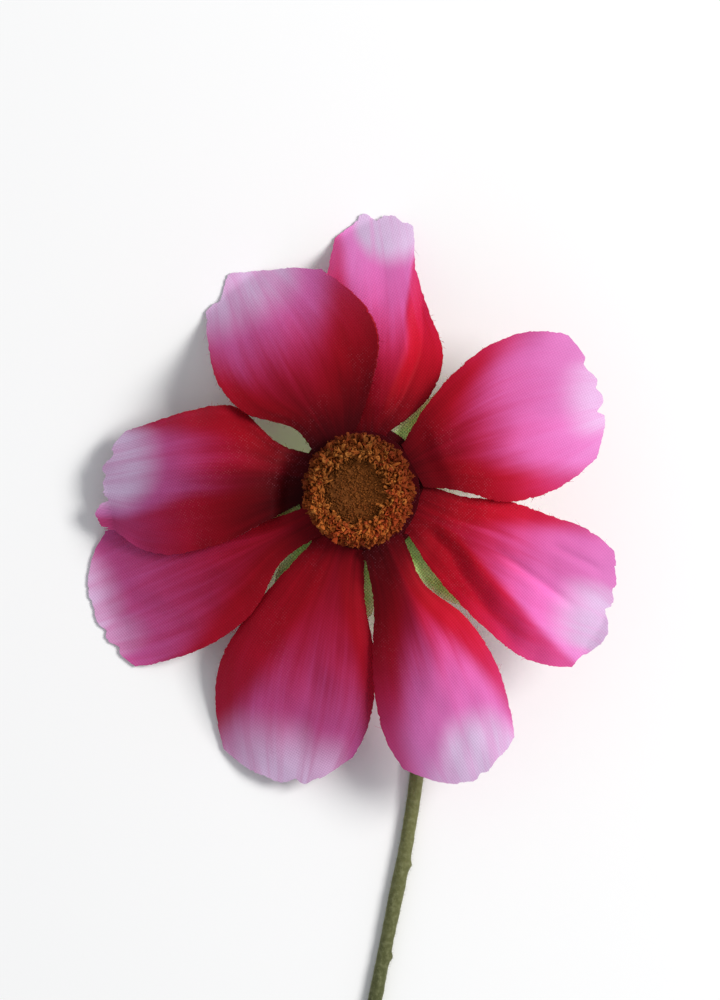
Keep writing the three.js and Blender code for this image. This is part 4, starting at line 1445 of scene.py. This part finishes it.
@dataclass
class Stem:
    """The flocked stem: a bar swept along its middle line, with its cup and its peg.

    Points of the middle line run from the neck to the cut end, round the bloom's centre and in
    height over the surface. A nub has its place along from the neck and how far it stands out.
    Coat and its length are the flocking's unevenness. A hair's lean is at random, and no hair
    points less outwards than hair_facing.
    """

    radius: float = 1.05
    solid_sides: int = 12
    points: tuple[Place, ...] = (
        (2.0, -0.6, 7.4), (3.6, -5.2, 3.9), (6.0, -13.0, 2.0), (8.0, -25.0, 0.0), (8.5, -40.0, 0.0),
        (6.9, -52.4, 0.0), (4.6, -64.0, 0.0), (2.1, -76.4, 0.0), (-2.0, -100.0, 0.0), (-5.4, -126.0, 0.0),
    )
    nubs: tuple[Span, ...] = ((0.474, 0.1), (0.58, 0.12), (0.67, 0.3), (0.86, 0.3))
    nub_root: float = 0.35
    nub_half: float = 0.6
    nub_power: int = 6
    wire_radii: Values = (0.36, 0.40)
    bevel: float = 0.96
    uneven: float = 0.02
    uneven_length: float = 11.0
    about_long: float = 130.0
    coat: float = 0.03
    coat_length: float = 2.2
    cup_radius: float = 3.4
    cup_height: float = 3.2
    cup_lead: float = 1.2
    cup_top: float = -2.15
    peg_radius: float = 1.0
    peg_top: float = 2.9
    sides: int = 28
    rings: int = 460
    steps: int = 60
    hairs: int = 7000
    hair_lengths: Span = (0.16, 0.4)
    hair_radii: Span = (0.012, 0.02)
    hair_root: float = 0.03
    hair_lean: float = 0.7
    hair_facing: float = 0.25
    hair_bend: float = 0.2
    seed: int = 41

    @property
    def rest(self) -> float:
        """Lowest height of the middle line, where the stem lies on the surface."""
        return self.radius * math.cos(math.pi / self.solid_sides)

    def middle_line(self) -> Array:
        """Points along the middle line from the cut end to the cup, evenly spaced.

        The line is a centripetal Catmull-Rom spline: each piece is a cubic whose end slopes come
        from the neighbouring points, with steps that grow as the square root of the distance.

        Returns:
            The points, none of them lower than the stem can lie.
        """
        foot = self.cup_top - self.cup_height
        knots = np.array([(x, y, max(z, self.rest)) for x, y, z in self.points])[::-1]
        axis = BLOOM.lean(np.array([[0, 0, foot - self.cup_lead], [0, 0, foot]]))
        knots = np.concatenate([knots, axis])
        knots = np.concatenate([[2 * knots[0] - knots[1]], knots, [2 * knots[-1] - knots[-2]]])
        a, b, c, d = knots[:-3], knots[1:-2], knots[2:-1], knots[3:]
        pairs = ((a, b), (b, c), (c, d))
        s0, s1, s2 = (np.linalg.norm(q - p, axis=1, keepdims=True) ** 0.5 for p, q in pairs)
        m1 = ((b - a) / s0 - (c - a) / (s0 + s1) + (c - b) / s1) * s1
        m2 = ((c - b) / s1 - (d - b) / (s1 + s2) + (d - c) / s2) * s1
        t = np.linspace(0, 1, self.steps, endpoint=False)[None, :, None]
        b, c, m1, m2 = (v[:, None] for v in (b, c, m1, m2))
        cubic = b + m1 * t + (3 * (c - b) - 2 * m1 - m2) * t**2 + (2 * (b - c) + m1 + m2) * t**3
        line = np.concatenate([cubic.reshape(-1, 3), knots[-2][None]])
        reach = reach_along(line)
        even = np.linspace(0, reach[-1], self.rings)
        points = np.stack([np.interp(even, reach, line[:, k]) for k in range(3)], axis=-1)
        points[:, 2] = np.maximum(points[:, 2], self.rest)
        return points

    def cup_and_peg(self) -> list[Span]:
        """Height over the bloom plane and radius of each section from the cup to the peg's top.

        Returns:
            Rows of height and radius: the cup's flare, its rounded rim, then the peg.
        """
        top, wide, peg = self.cup_top, self.cup_radius, self.peg_radius
        foot = top - self.cup_height
        rows = []
        for share in (0.2, 0.4, 0.6, 0.8):
            rows.append((foot + share * self.cup_height, self.radius + (wide - self.radius) * share**2))
        rows += [(top - 0.4, wide), (top - 0.15, wide - 0.04), (top, wide - 0.2)]
        rows += [(top + 0.01, peg), (self.peg_top - 0.15, peg), (self.peg_top, peg - 0.12)]
        return rows

    def sweep(self) -> tuple[Array, Array, Array]:
        """Sections from the cut end to the peg.

        Returns:
            Each section's middle, direction and radius, from the cut end's bevel to the peg's top.
        """
        line = self.middle_line()
        ahead = unit(np.gradient(line, axis=0))
        place = self.about_long * np.linspace(0, 1, len(line))
        lumps = ripples(place, 0 * place, self.uneven_length, self.seed)
        radius = self.radius * (1 + self.uneven * lumps)
        heights, widths = np.array(self.cup_and_peg()).T
        axis = BLOOM.lean(np.stack([0 * heights, 0 * heights, heights], axis=-1))
        middles = np.concatenate([np.repeat(line[:1], 3, axis=0), line[1:], axis])
        start, end = np.repeat(ahead[:1], 3, axis=0), np.repeat(BLOOM.axis[None], len(heights), axis=0)
        directions = np.concatenate([start, ahead[1:], end])
        radii = np.concatenate([self.wire_radii, [self.radius * self.bevel], radius[1:], widths])
        return middles, directions, radii

    def build(self, finish: bpy.types.Material) -> bpy.types.Object:
        """Makes the stem's piece in the place of its solid.

        Round each middle the section is a circle across the stem's direction. A nub is a bell
        shape in length and angle on the stem's right side.

        Args:
            finish: the stem's flocking.

        Returns:
            The piece.
        """
        middles, directions, radii = self.sweep()
        aside = unit(np.cross([0.0, 0.0, 1.0], directions))
        up = np.cross(directions, aside)
        angle = np.linspace(0, 2 * np.pi, self.sides, endpoint=False)[None, :]
        spokes = np.cos(angle)[..., None] * aside[:, None] - np.sin(angle)[..., None] * up[:, None]
        reach = reach_along(middles)
        swell = np.zeros((len(middles), self.sides))
        bare = len(middles) - len(self.cup_and_peg())
        total = reach[bare]
        toward = np.maximum(spokes[..., 0], 0) ** self.nub_power
        for place, height in self.nubs:
            off = (reach[:, None] - (1 - place) * total) / self.nub_half
            swell += (height + self.nub_root) * np.exp(-(off**2)) * toward
        swell += self.coat * ripples(reach[:, None], 3 * angle, self.coat_length, self.seed + 1)
        swell[:3] = 0
        swell[bare:] = 0
        points = middles[:, None] + (radii[:, None] + swell)[..., None] * spokes
        points[..., 2] = np.maximum(points[..., 2], 0.0)
        dye = np.zeros((*points.shape[:2], 4))
        dye[..., 0] = (reach / total)[:, None]
        dye[:2, :, 1] = 1
        ends = np.concatenate([middles[:1], middles[-1:]])
        end_dye = np.array([[0.0, 1.0, 0, 0], [1.0, 0, 0, 0]])
        lie = np.stack(np.broadcast_arrays(angle / (2 * np.pi), reach[:, None]), axis=-1)
        patch = Patchwork()
        patch.add(
            np.concatenate([points.reshape(-1, 3), ends]),
            grid_quads(len(middles), self.sides, closed=True),
            end_fans(len(middles) * self.sides, self.sides),
            dye=np.concatenate([dye.reshape(-1, 4), end_dye]),
            lie=np.concatenate([lie.reshape(-1, 2), np.zeros((2, 2))]),
        )
        self.add_flock(patch, points[3:bare], spokes[3:bare], directions[3:bare], dye[3:bare])
        return settle(patch.piece("stem_flocked", finish), "stem", "stem")

    def add_flock(self, patch: Patchwork, points: Array, spokes: Array, ahead: Array, dye: Array) -> None:
        """Adds short flock hairs over the stem, standing out and leaning at random.

        Args:
            patch: the piece that they become part of.
            points: of the stem's surface, by section and side.
            spokes: outward directions there.
            ahead: the stem's direction at each section.
            dye: values of the surface.
        """
        draw = np.random.default_rng(self.seed + 2)
        row = draw.integers(0, len(points) - 1, self.hairs)
        side = draw.integers(0, self.sides, self.hairs)
        slip = draw.random((self.hairs, 1))
        roots = points[row, side] * (1 - slip) + points[row + 1, side] * slip
        out = spokes[row, side]
        directions = unit(out + self.hair_lean * draw.normal(0, 1, (self.hairs, 3)))
        facing = np.sum(directions * out, axis=1, keepdims=True)
        directions = unit(directions + out * np.maximum(self.hair_facing - facing, 0))
        lengths = draw.uniform(*self.hair_lengths, self.hairs)
        radii = draw.uniform(*self.hair_radii, self.hairs)
        bends = self.hair_bend * draw.normal(0, 1, (self.hairs, 3))
        roots = roots - out * self.hair_root
        hairs, quads, triangles = rods(
            roots, directions, bends, lengths, radii, stations=(0.0, 1.0), swell=(1.0, 0.5)
        )
        hairs[..., 2] = np.maximum(hairs[..., 2], 0.0)
        values = dye[row, side].copy()
        values[:, 2] = 1
        each = hairs.shape[1] * hairs.shape[2]
        patch.add(hairs, quads, triangles, dye=np.repeat(values, each, axis=0))


def shade(red: int, green: int, blue: int) -> Colour:
    """A colour seen on a screen, from 0 to 255 each, as the linear values that shaders take."""
    share = np.array([red, green, blue]) / 255
    return tuple(np.where(share <= 0.04045, share / 12.92, ((share + 0.055) / 1.055) ** 2.4))


class Recipe:
    """A material's nodes, built by short calls, most of which return an output socket."""

    def __init__(self, name: str) -> None:
        """Starts a material with its main shader.

        Args:
            name: the material's name.
        """
        self.material = bpy.data.materials.new(name)
        self.material.use_nodes = True
        self.tree = self.material.node_tree
        self.shader = self.tree.nodes["Principled BSDF"]

    def put(self, value: object, socket: Socket) -> None:
        """Links an output to a socket, or sets the socket to a number, vector or colour.

        Args:
            value: the output, number, or tuple of three.
            socket: the input that takes it.
        """
        if isinstance(value, Socket):
            self.tree.links.new(value, socket)
        elif isinstance(value, tuple) and len(value) == 3 and socket.type == "RGBA":
            socket.default_value = (*value, 1.0)
        else:
            socket.default_value = value

    def node(self, kind: str, inputs: dict | None = None, **settings: object) -> bpy.types.Node:
        """A new node with its settings, its inputs linked or set.

        Args:
            kind: its type.
            inputs: what goes into each input, by number or name.
            **settings: its properties, by name.

        Returns:
            The node.
        """
        made = self.tree.nodes.new(kind)
        for name, value in settings.items():
            setattr(made, name, value)
        for place, value in (inputs or {}).items():
            self.put(value, made.inputs[place])
        return made

    def math(self, operation: str, *values: object) -> Socket:
        """The result of a math operation on sockets or numbers."""
        return self.node("ShaderNodeMath", dict(enumerate(values)), operation=operation).outputs[0]

    def mix(self, share: object, first: object, second: object) -> Socket:
        """Two colours mixed by a share."""
        return self.node("ShaderNodeMix", {0: share, 6: first, 7: second}, data_type="RGBA").outputs[2]

    def faded(self, colour: Socket, share: Socket) -> Socket:
        """A colour times a share."""
        inputs = {0: colour, "Scale": share}
        return self.node("ShaderNodeVectorMath", inputs, operation="SCALE").outputs[0]

    def ramp(self, share: object, stops: Stops) -> Socket:
        """A colour that runs smoothly through stops, as a spline where they are more than three.

        Args:
            share: where on the ramp, from 0 to 1.
            stops: rows of place and colour.

        Returns:
            The colour.
        """
        made = self.node("ShaderNodeValToRGB", {0: share})
        made.color_ramp.interpolation = "B_SPLINE" if len(stops) > 3 else "EASE"
        points = made.color_ramp.elements
        for place, _ in stops[2:]:
            points.new(place)
        for point, (place, colour) in zip(points, stops):
            point.position = place
            point.color = (*colour, 1.0)
        return made.outputs[0]

    def rescale(self, value: object, old: Span, new: Span) -> Socket:
        """A value carried smoothly from one range to another and held at its ends."""
        inputs = dict(enumerate((value, *old, *new)))
        return self.node("ShaderNodeMapRange", inputs, interpolation_type="SMOOTHSTEP").outputs[0]

    def spot(self) -> Socket:
        """Object coordinates."""
        return self.node("ShaderNodeTexCoord").outputs["Object"]

    def chart(self, name: str) -> Socket:
        """A piece's own UV map."""
        return self.node("ShaderNodeUVMap", uv_map=name).outputs[0]

    def dye(self) -> tuple[Socket, ...]:
        """The four values of a piece's own "dye" attribute."""
        made = self.node("ShaderNodeAttribute", attribute_name="dye").outputs
        return *self.node("ShaderNodeSeparateColor", {0: made["Color"]}).outputs, made["Alpha"]

    def parts(self, vector: Socket) -> tuple[Socket, ...]:
        """The three parts of a vector."""
        return tuple(self.node("ShaderNodeSeparateXYZ", {0: vector}).outputs)

    def scaled(self, vector: Socket, scale: Place) -> Socket:
        """A vector with each part scaled."""
        return self.node("ShaderNodeMapping", {0: vector, "Scale": scale}).outputs[0]

    def noise(self, vector: Socket, scale: float, detail: float) -> Socket:
        """Soft noise from 0 to 1 over a vector, with finer layers as detail says."""
        inputs = {"Vector": vector, "Scale": scale, "Detail": detail}
        return self.node("ShaderNodeTexNoise", inputs).outputs[0]

    def bump(self, *layers: tuple[Socket, float]) -> None:
        """Raises the surface by layers of height, one on another.

        Args:
            *layers: rows of height, from 0 to 1, and depth in metres.
        """
        inputs = {"Strength": 1.0}
        for height, depth in layers:
            inputs |= {"Distance": depth, "Height": height}
            inputs["Normal"] = self.node("ShaderNodeBump", inputs).outputs[0]
        self.put(inputs["Normal"], self.shader.inputs["Normal"])

    def surface(self, **values: object) -> None:
        """Sets the main shader's sockets.

        Args:
            **values: what goes into each, named in lower case with _ for blanks.
        """
        names = {s.name.lower().replace(" ", "_"): s for s in self.shader.inputs}
        for name, value in values.items():
            self.put(value, names[name])


def weave(recipe: Recipe, pitch: float) -> tuple[Socket, Socket]:
    """A plain weave over the flat cloth: crowns of the threads in a chequer.

    The height is half of one plus the product of two sines, one across each set of threads.

    Args:
        recipe: the material.
        pitch: distance between threads, in millimetres.

    Returns:
        The height from 0 to 1, and a brightness that differs from thread to thread.
    """
    u, v, _ = recipe.parts(recipe.chart("cloth"))
    turn = math.pi / pitch
    across = recipe.math("SINE", recipe.math("MULTIPLY", u, turn))
    along = recipe.math("SINE", recipe.math("MULTIPLY", v, turn))
    height = recipe.math("MULTIPLY_ADD", recipe.math("MULTIPLY", across, along), 0.5, 0.5)
    first = recipe.noise(recipe.scaled(recipe.chart("cloth"), (1 / pitch, 0.15, 1)), 1.0, 1)
    second = recipe.noise(recipe.scaled(recipe.chart("cloth"), (0.15, 1 / pitch, 1)), 1.0, 1)
    return height, recipe.math("ADD", first, second)


@dataclass(frozen=True)
class PetalCloth:
    """Printed woven fabric: dark at the neck, by its print and by painted shade round the disc, red at
    the sides, then pink, and pale at the tip.

    Back is what the underside is mixed with. Painted glints are painted highlights: bright specks on
    the threads' crowns, by the weave's crown, a fine grain and wide patches. Weave shade is painted shade
    between the threads' crowns, with a tone that differs from thread to thread.
    """

    # The first stops, at the neck, are dark crimson print made darker still by painted shade round the
    # disc.
    print_and_neck_shade_stops: Stops = (
        (0.20, shade(60, 4, 10)),
        (0.30, shade(116, 8, 21)),
        (0.40, shade(152, 15, 36)),
        (0.48, shade(178, 28, 64)),
        (0.56, shade(204, 62, 120)),
        (0.65, shade(222, 98, 170)),
        (0.80, shade(228, 118, 192)),
        (1.0, shade(230, 146, 210)),
    )
    # The first stop, at the neck, is dark print made darker still by painted shade round the disc.
    band_and_neck_shade_stops: Stops = (
        (0.20, shade(58, 4, 9)),
        (0.34, shade(130, 9, 22)),
        (0.48, shade(178, 14, 34)),
        (0.62, shade(196, 27, 62)),
        (0.76, shade(206, 54, 114)),
        (1.0, shade(214, 98, 164)),
    )
    pale: Colour = shade(224, 192, 228)
    back: Colour = shade(236, 190, 208)
    back_share: float = 0.3
    back_light: float = 0.5
    # colour of the painted glints, painted highlights on the threads' crowns
    painted_glint: Colour = shade(232, 140, 160)
    glint_scale: float = 1.6
    glint_share: float = 0.32
    pitch: float = 0.24
    streak: float = 0.13
    streak_scale: Place = (5.5, 1.5, 1.0)
    fine_scale: Place = (16.0, 3.5, 1.0)
    patch_scale: float = 0.09
    wash_streak: Carry = ((0.25, 0.6), (0.55, 1.0))
    glint_crown: Carry = ((0.6, 1.0), (0.0, 0.4))
    glint_grain: Carry = ((0.46, 0.64), (0.0, 1.0))
    glint_patch: Carry = ((0.46, 0.62), (0.06, 1.0))
    thread_share: float = 0.35
    weave_shade: Carry = ((0.2, 1.4), (0.92, 1.07))
    crumple_scale: float = 260.0
    crumple_depth: float = 0.00012
    thread_depth: float = 0.000025
    roughness: float = 0.62

    def make(self) -> bpy.types.Material:
        """Makes the finish: the print by the piece's values, darker as painted shade or lighter as
        painted light by the fourth of them, streaked along the petal, on a weave.

        Returns:
            The material.
        """
        recipe = Recipe("petal_cloth")
        place, band, wash, under = recipe.dye()
        lie = recipe.chart("lie")
        streaks = recipe.noise(recipe.scaled(lie, self.streak_scale), 1.0, 4)
        fine = recipe.noise(recipe.scaled(lie, self.fine_scale), 1.0, 3)
        shift = recipe.math("MULTIPLY", recipe.math("SUBTRACT", streaks, 0.5), self.streak)
        fine_shift = recipe.math("MULTIPLY", recipe.math("SUBTRACT", fine, 0.5), self.streak * 0.5)
        shifted = recipe.math("ADD", recipe.math("ADD", place, shift), fine_shift)
        ground = recipe.ramp(shifted, self.print_and_neck_shade_stops)
        red = recipe.ramp(shifted, self.band_and_neck_shade_stops)
        printed_and_shaded = recipe.mix(band, ground, red)
        # the fourth value is painted shading on the upper face: over its zero it darkens the print as
        # painted shade, under it it lightens it as painted light; on the underside it stands for the
        # underside
        light = recipe.math("SUBTRACT", 1 + PAINTED_SHADING_ZERO, under)
        light = recipe.math("ADD", light, recipe.rescale(under, UNDERSIDE_FROM, (0.0, self.back_light)))
        printed_and_shaded = recipe.faded(printed_and_shaded, light)
        strength = recipe.math("MULTIPLY", wash, recipe.rescale(streaks, *self.wash_streak))
        printed_and_shaded = recipe.mix(strength, printed_and_shaded, self.pale)
        below = recipe.rescale(under, UNDERSIDE_FROM, (0.0, self.back_share))
        printed_and_shaded = recipe.mix(below, printed_and_shaded, self.back)
        height, threads = weave(recipe, self.pitch)
        # painted highlights: bright glints on the threads' crowns
        printed_and_shaded = recipe.mix(self.painted_glints(recipe, height), printed_and_shaded, self.painted_glint)
        # painted shade between the threads' crowns, with each thread's own tone
        weave_shade = recipe.math("MULTIPLY_ADD", threads, self.thread_share, height)
        weave_shade = recipe.rescale(weave_shade, *self.weave_shade)
        crumple = recipe.noise(recipe.spot(), self.crumple_scale, 3)
        recipe.bump((crumple, self.crumple_depth), (height, self.thread_depth))
        recipe.surface(
            base_color=recipe.faded(printed_and_shaded, weave_shade),
            roughness=self.roughness,
            specular_ior_level=0.06,
        )
        return recipe.material

    def painted_glints(self, recipe: Recipe, height: Socket) -> Socket:
        """How much painted highlight shows: small bright glints on the threads' crowns, gathered in
        patches.

        Args:
            recipe: the material.
            height: of the weave.

        Returns:
            The share from 0 to 1.
        """
        cloth = recipe.chart("cloth")
        grain = recipe.noise(recipe.scaled(cloth, (self.glint_scale, self.glint_scale, 1)), 1.0, 1)
        patch = recipe.noise(recipe.scaled(cloth, (self.patch_scale, self.patch_scale, 1)), 1.0, 2)
        crown = recipe.math("MULTIPLY", recipe.rescale(height, *self.glint_crown), self.glint_share)
        here = recipe.math("MULTIPLY", crown, recipe.rescale(grain, *self.glint_grain))
        return recipe.math("MULTIPLY", here, recipe.rescale(patch, *self.glint_patch))


@dataclass(frozen=True)
class SepalCloth:
    """Green woven fabric in two mottled greens, paler at its cut edge; both greens are lighter than the
    cloth's own, as painted light on sepals that lie in the petals' shade.
    """

    # both greens are painted lighter than the cloth's own: painted light for sepals that lie in the
    # petals' shade
    dark: Colour = shade(176, 230, 110)
    light: Colour = shade(210, 252, 150)
    edge: Colour = shade(222, 246, 186)
    pitch: float = 0.26
    mottle_scale: float = 320.0
    mottle: Carry = ((0.3, 0.7), (0.0, 1.0))
    edge_share: Carry = ((0.8, 1.0), (0.0, 0.6))
    thread_share: float = 0.4
    weave_shade: Carry = ((0.2, 1.5), (0.72, 1.42))
    thread_depth: float = 0.00004

    def make(self) -> bpy.types.Material:
        """Makes the finish: green by noise and by the margin, on a strong weave with painted shade
        between its threads.

        Returns:
            The material.
        """
        recipe = Recipe("sepal_cloth")
        across = recipe.dye()[1]
        mottle = recipe.noise(recipe.spot(), self.mottle_scale, 3)
        height, threads = weave(recipe, self.pitch)
        green = recipe.mix(recipe.rescale(mottle, *self.mottle), self.dark, self.light)
        green = recipe.mix(recipe.rescale(across, *self.edge_share), green, self.edge)
        # painted shade between the threads' crowns, with each thread's own tone
        weave_shade = recipe.math("MULTIPLY_ADD", threads, self.thread_share, height)
        weave_shade = recipe.rescale(weave_shade, *self.weave_shade)
        recipe.bump((height, self.thread_depth))
        recipe.surface(
            base_color=recipe.faded(green, weave_shade), roughness=0.6, specular_ior_level=0.2, sheen_weight=0.1
        )
        return recipe.material


@dataclass(frozen=True)
class Crumb:
    """Crumbly moulded granules: each its own tone, with painted shade at the root and in a tube's hollow,
    and warmer patches.

    Painted light and shade run across the disc along a direction: it is up to light times brighter
    at that side, and the other side is as much darker.
    """

    name: str
    dark: Colour
    shades: tuple[Colour, Colour, Colour]
    warm: Colour
    warm_share: float
    # For the ring, inner is lighter than the crumbs' own colour: painted light on the ring's inner edge,
    # which the sunken eye leaves in shade; the eye takes it as its own colour.
    inner: Colour
    rim: Colour
    # how much brighter the painted light makes one side of the disc; the painted shade makes the other as
    # much darker
    light: float = 1.0
    painted_light_way: Span = (0.15, -1.0)
    painted_light_reach: float = 0.007
    patch_scale: float = 170.0
    patch: Carry = ((0.35, 0.65), (-0.3, 0.3))
    warm_soft: float = 0.1
    warm_most: float = 0.8
    inner_share: Carry = ((0.04, 0.2), (0.7, 0.0))
    rim_share: Carry = ((0.28, 0.6), (0.0, 0.75))
    root_dark: Carry = ((0.0, 0.6), (0.6, 0.0))
    grain_dark: Carry = ((0.35, 0.7), (0.0, 0.15))
    grain_scale: float = 1500.0
    grain_depth: float = 0.00012
    roughness: float = 0.75

    def make(self) -> bpy.types.Material:
        """Makes the finish: a tone by each granule's first value, with painted shade towards its root.

        Returns:
            The material.
        """
        recipe = Recipe(self.name)
        tone, rise, hue, place = recipe.dye()
        first, second, third = self.shades
        body = recipe.ramp(tone, ((0.1, first), (0.5, second), (0.9, third)))
        patch = recipe.noise(recipe.spot(), self.patch_scale, 2)
        patch = recipe.rescale(patch, *self.patch)
        edge = 1 - self.warm_share
        span = (edge, edge + self.warm_soft)
        warm = recipe.rescale(recipe.math("ADD", hue, patch), span, (0.0, self.warm_most))
        body = recipe.mix(warm, body, self.warm)
        body = recipe.mix(recipe.rescale(place, *self.inner_share), body, self.inner)
        body = recipe.mix(recipe.rescale(place, *self.rim_share), body, self.rim)
        # painted shade towards each granule's root and inside a tube's hollow
        body = recipe.mix(recipe.rescale(rise, *self.root_dark), body, self.dark)
        # painted light and shade across the disc: brighter towards one side, as much darker towards the
        # other
        x, y, _ = recipe.parts(recipe.spot())
        to_x, to_y = self.painted_light_way
        side = recipe.math("MULTIPLY_ADD", x, to_x, recipe.math("MULTIPLY", y, to_y))
        middle = (to_x * BLOOM.x + to_y * BLOOM.y) * MM
        span = (middle - self.painted_light_reach, middle + self.painted_light_reach)
        body = recipe.faded(body, recipe.rescale(side, span, (2 - self.light, self.light)))
        grain = recipe.noise(recipe.spot(), self.grain_scale, 4)
        body = recipe.mix(recipe.rescale(grain, *self.grain_dark), body, self.dark)
        recipe.bump((grain, self.grain_depth))
        recipe.surface(base_color=body, roughness=self.roughness, specular_ior_level=0.08)
        return recipe.material


RING_CRUMB = Crumb(
    name="disc_ring",
    dark=shade(104, 44, 16),
    shades=(shade(156, 78, 30), shade(170, 93, 38), shade(188, 118, 54)),
    warm=shade(150, 54, 26),
    warm_share=0.4,
    # painted light on the ring's inner edge, which lies in shade by the sunken eye
    inner=shade(176, 104, 46),
    rim=shade(122, 46, 19),
    # painted light towards the disc's lower side as seen from above, painted shade towards its upper side
    light=1.24,
)
EYE_CRUMB = Crumb(
    name="disc_eye",
    dark=shade(108, 58, 22),
    shades=(shade(132, 71, 29), shade(142, 78, 32), shade(153, 87, 37)),
    warm=shade(150, 62, 28),
    warm_share=0.25,
    inner=shade(128, 74, 30),
    rim=shade(128, 74, 30),
    # painted light on the eye's right side, where the ring shades it, and painted shade on its left
    light=1.36,
    painted_light_way=(1.0, 0.0),
)


@dataclass(frozen=True)
class Flock:
    """Short olive flocking over a coated wire, greener towards the cut end."""

    olive: Colour = shade(112, 112, 70)
    green: Colour = shade(50, 60, 36)
    pale: Colour = shade(176, 178, 136)
    wire: Colour = shade(120, 120, 118)
    sheen: Colour = shade(225, 228, 190)
    olive_share: Carry = ((0.1, 0.75), (0.0, 1.0))
    mottle_scale: float = 1500.0
    mottle_depth: float = 0.0002
    mottle: Carry = ((0.4, 0.75), (0.0, 0.2))
    hair_pale: float = 0.3

    def make(self) -> bpy.types.Material:
        """Makes the finish: two greens by the length, mottled paler, with a soft bright sheen.

        Returns:
            The material.
        """
        recipe = Recipe("stem_flock")
        length, wire, hair, _ = recipe.dye()
        body = recipe.mix(recipe.rescale(length, *self.olive_share), self.green, self.olive)
        mottle = recipe.noise(recipe.spot(), self.mottle_scale, 4)
        body = recipe.mix(recipe.rescale(mottle, *self.mottle), body, self.pale)
        body = recipe.mix(recipe.math("MULTIPLY", hair, self.hair_pale), body, self.pale)
        body = recipe.mix(wire, body, self.wire)
        recipe.bump((mottle, self.mottle_depth))
        recipe.surface(
            base_color=body,
            roughness=0.9,
            specular_ior_level=0.2,
            sheen_weight=0.6,
            sheen_roughness=0.35,
            sheen_tint=self.sheen,
        )
        return recipe.material


@dataclass
class Studio:
    """Pale floor, soft studio light from the upper right, and a camera that looks straight down.

    The view's lengths are in millimetres, and the floor's, the light's and the clip are in metres.
    """

    view_x: float = BLOOM.x - 0.3
    view_y: float = BLOOM.y - 1.5
    view_height: float = 2017.0
    view_long_side: float = 150.0
    view_level: float = 17.0
    clip: Span = (0.05, 10.0)
    floor_half: float = 1.5
    floor_colour: Colour = shade(253, 253, 253)
    key_place: Place = (0.78, 0.26, 0.85)
    key_aim: Place = (0.0, 0.04, 0.01)
    key_size: float = 0.45
    key_watts: float = 11.6
    key_tint: Colour = (1.0, 0.985, 0.96)
    room_tint: Colour = (0.93, 0.96, 1.0)
    room_strength: float = 0.44

    def floor(self) -> None:
        """Lays the floor, a wide square that is not part of the flower."""
        mesh = bpy.data.meshes.new("floor")
        h = self.floor_half
        mesh.from_pydata([(-h, -h, 0), (h, -h, 0), (h, h, 0), (-h, h, 0)], [], [(0, 1, 2, 3)])
        recipe = Recipe("floor_paper")
        recipe.surface(base_color=self.floor_colour, roughness=0.9, specular_ior_level=0.1)
        mesh.materials.append(recipe.material)
        made = bpy.data.objects.new("floor", mesh)
        bpy.context.scene.collection.objects.link(made)
        made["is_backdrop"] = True

    def key_light(self) -> None:
        """Hangs the square soft light at the upper right, turned to its aim."""
        light = bpy.data.lights.new("key", "AREA")
        light.size = self.key_size
        light.energy = self.key_watts
        light.color = self.key_tint
        made = bpy.data.objects.new("key", light)
        made.location = self.key_place
        toward = Vector(self.key_aim) - Vector(self.key_place)
        made.rotation_euler = toward.to_track_quat("-Z", "Y").to_euler()
        bpy.context.scene.collection.objects.link(made)

    def room(self) -> None:
        """Lights the room evenly and weakly, and shows colours as they are."""
        world = bpy.data.worlds.new("room")
        world.use_nodes = True
        back = world.node_tree.nodes["Background"]
        back.inputs["Color"].default_value = (*self.room_tint, 1.0)
        back.inputs["Strength"].default_value = self.room_strength
        bpy.context.scene.world = world
        bpy.context.scene.view_settings.view_transform = "Standard"

    def camera(self) -> None:
        """Sets the camera over the bloom so that the frame's long side spans its named length."""
        data = bpy.data.cameras.new("camera")
        reach = self.view_height - self.view_level
        data.lens = data.sensor_width * reach / self.view_long_side
        data.clip_start, data.clip_end = self.clip
        made = bpy.data.objects.new("camera", data)
        made.location = (self.view_x * MM, self.view_y * MM, self.view_height * MM)
        bpy.context.scene.collection.objects.link(made)
        bpy.context.scene.camera = made

    def build(self) -> None:
        """Makes the floor, the light, the room and the camera."""
        self.floor()
        self.key_light()
        self.room()
        self.camera()


def corners() -> list[list[float]]:
    """The shown object's lowest and highest corner, as plain lists."""
    return [list(corner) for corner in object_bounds()]


def main() -> None:
    """Loads the frame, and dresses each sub-assembly in order."""
    logging.basicConfig(level=logging.INFO, format="%(message)s")
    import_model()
    Studio().build()
    petal_cloth = PetalCloth().make()
    PetalWhorl(Whorl.BACK).build(petal_cloth)
    PetalWhorl(Whorl.FRONT).build(petal_cloth)
    Calyx().build(SepalCloth().make())
    DiscRing().build(RING_CRUMB.make())
    DiscEye().build(EYE_CRUMB.make())
    Stem().build(Flock().make())


if __name__ == "__main__":
    main()
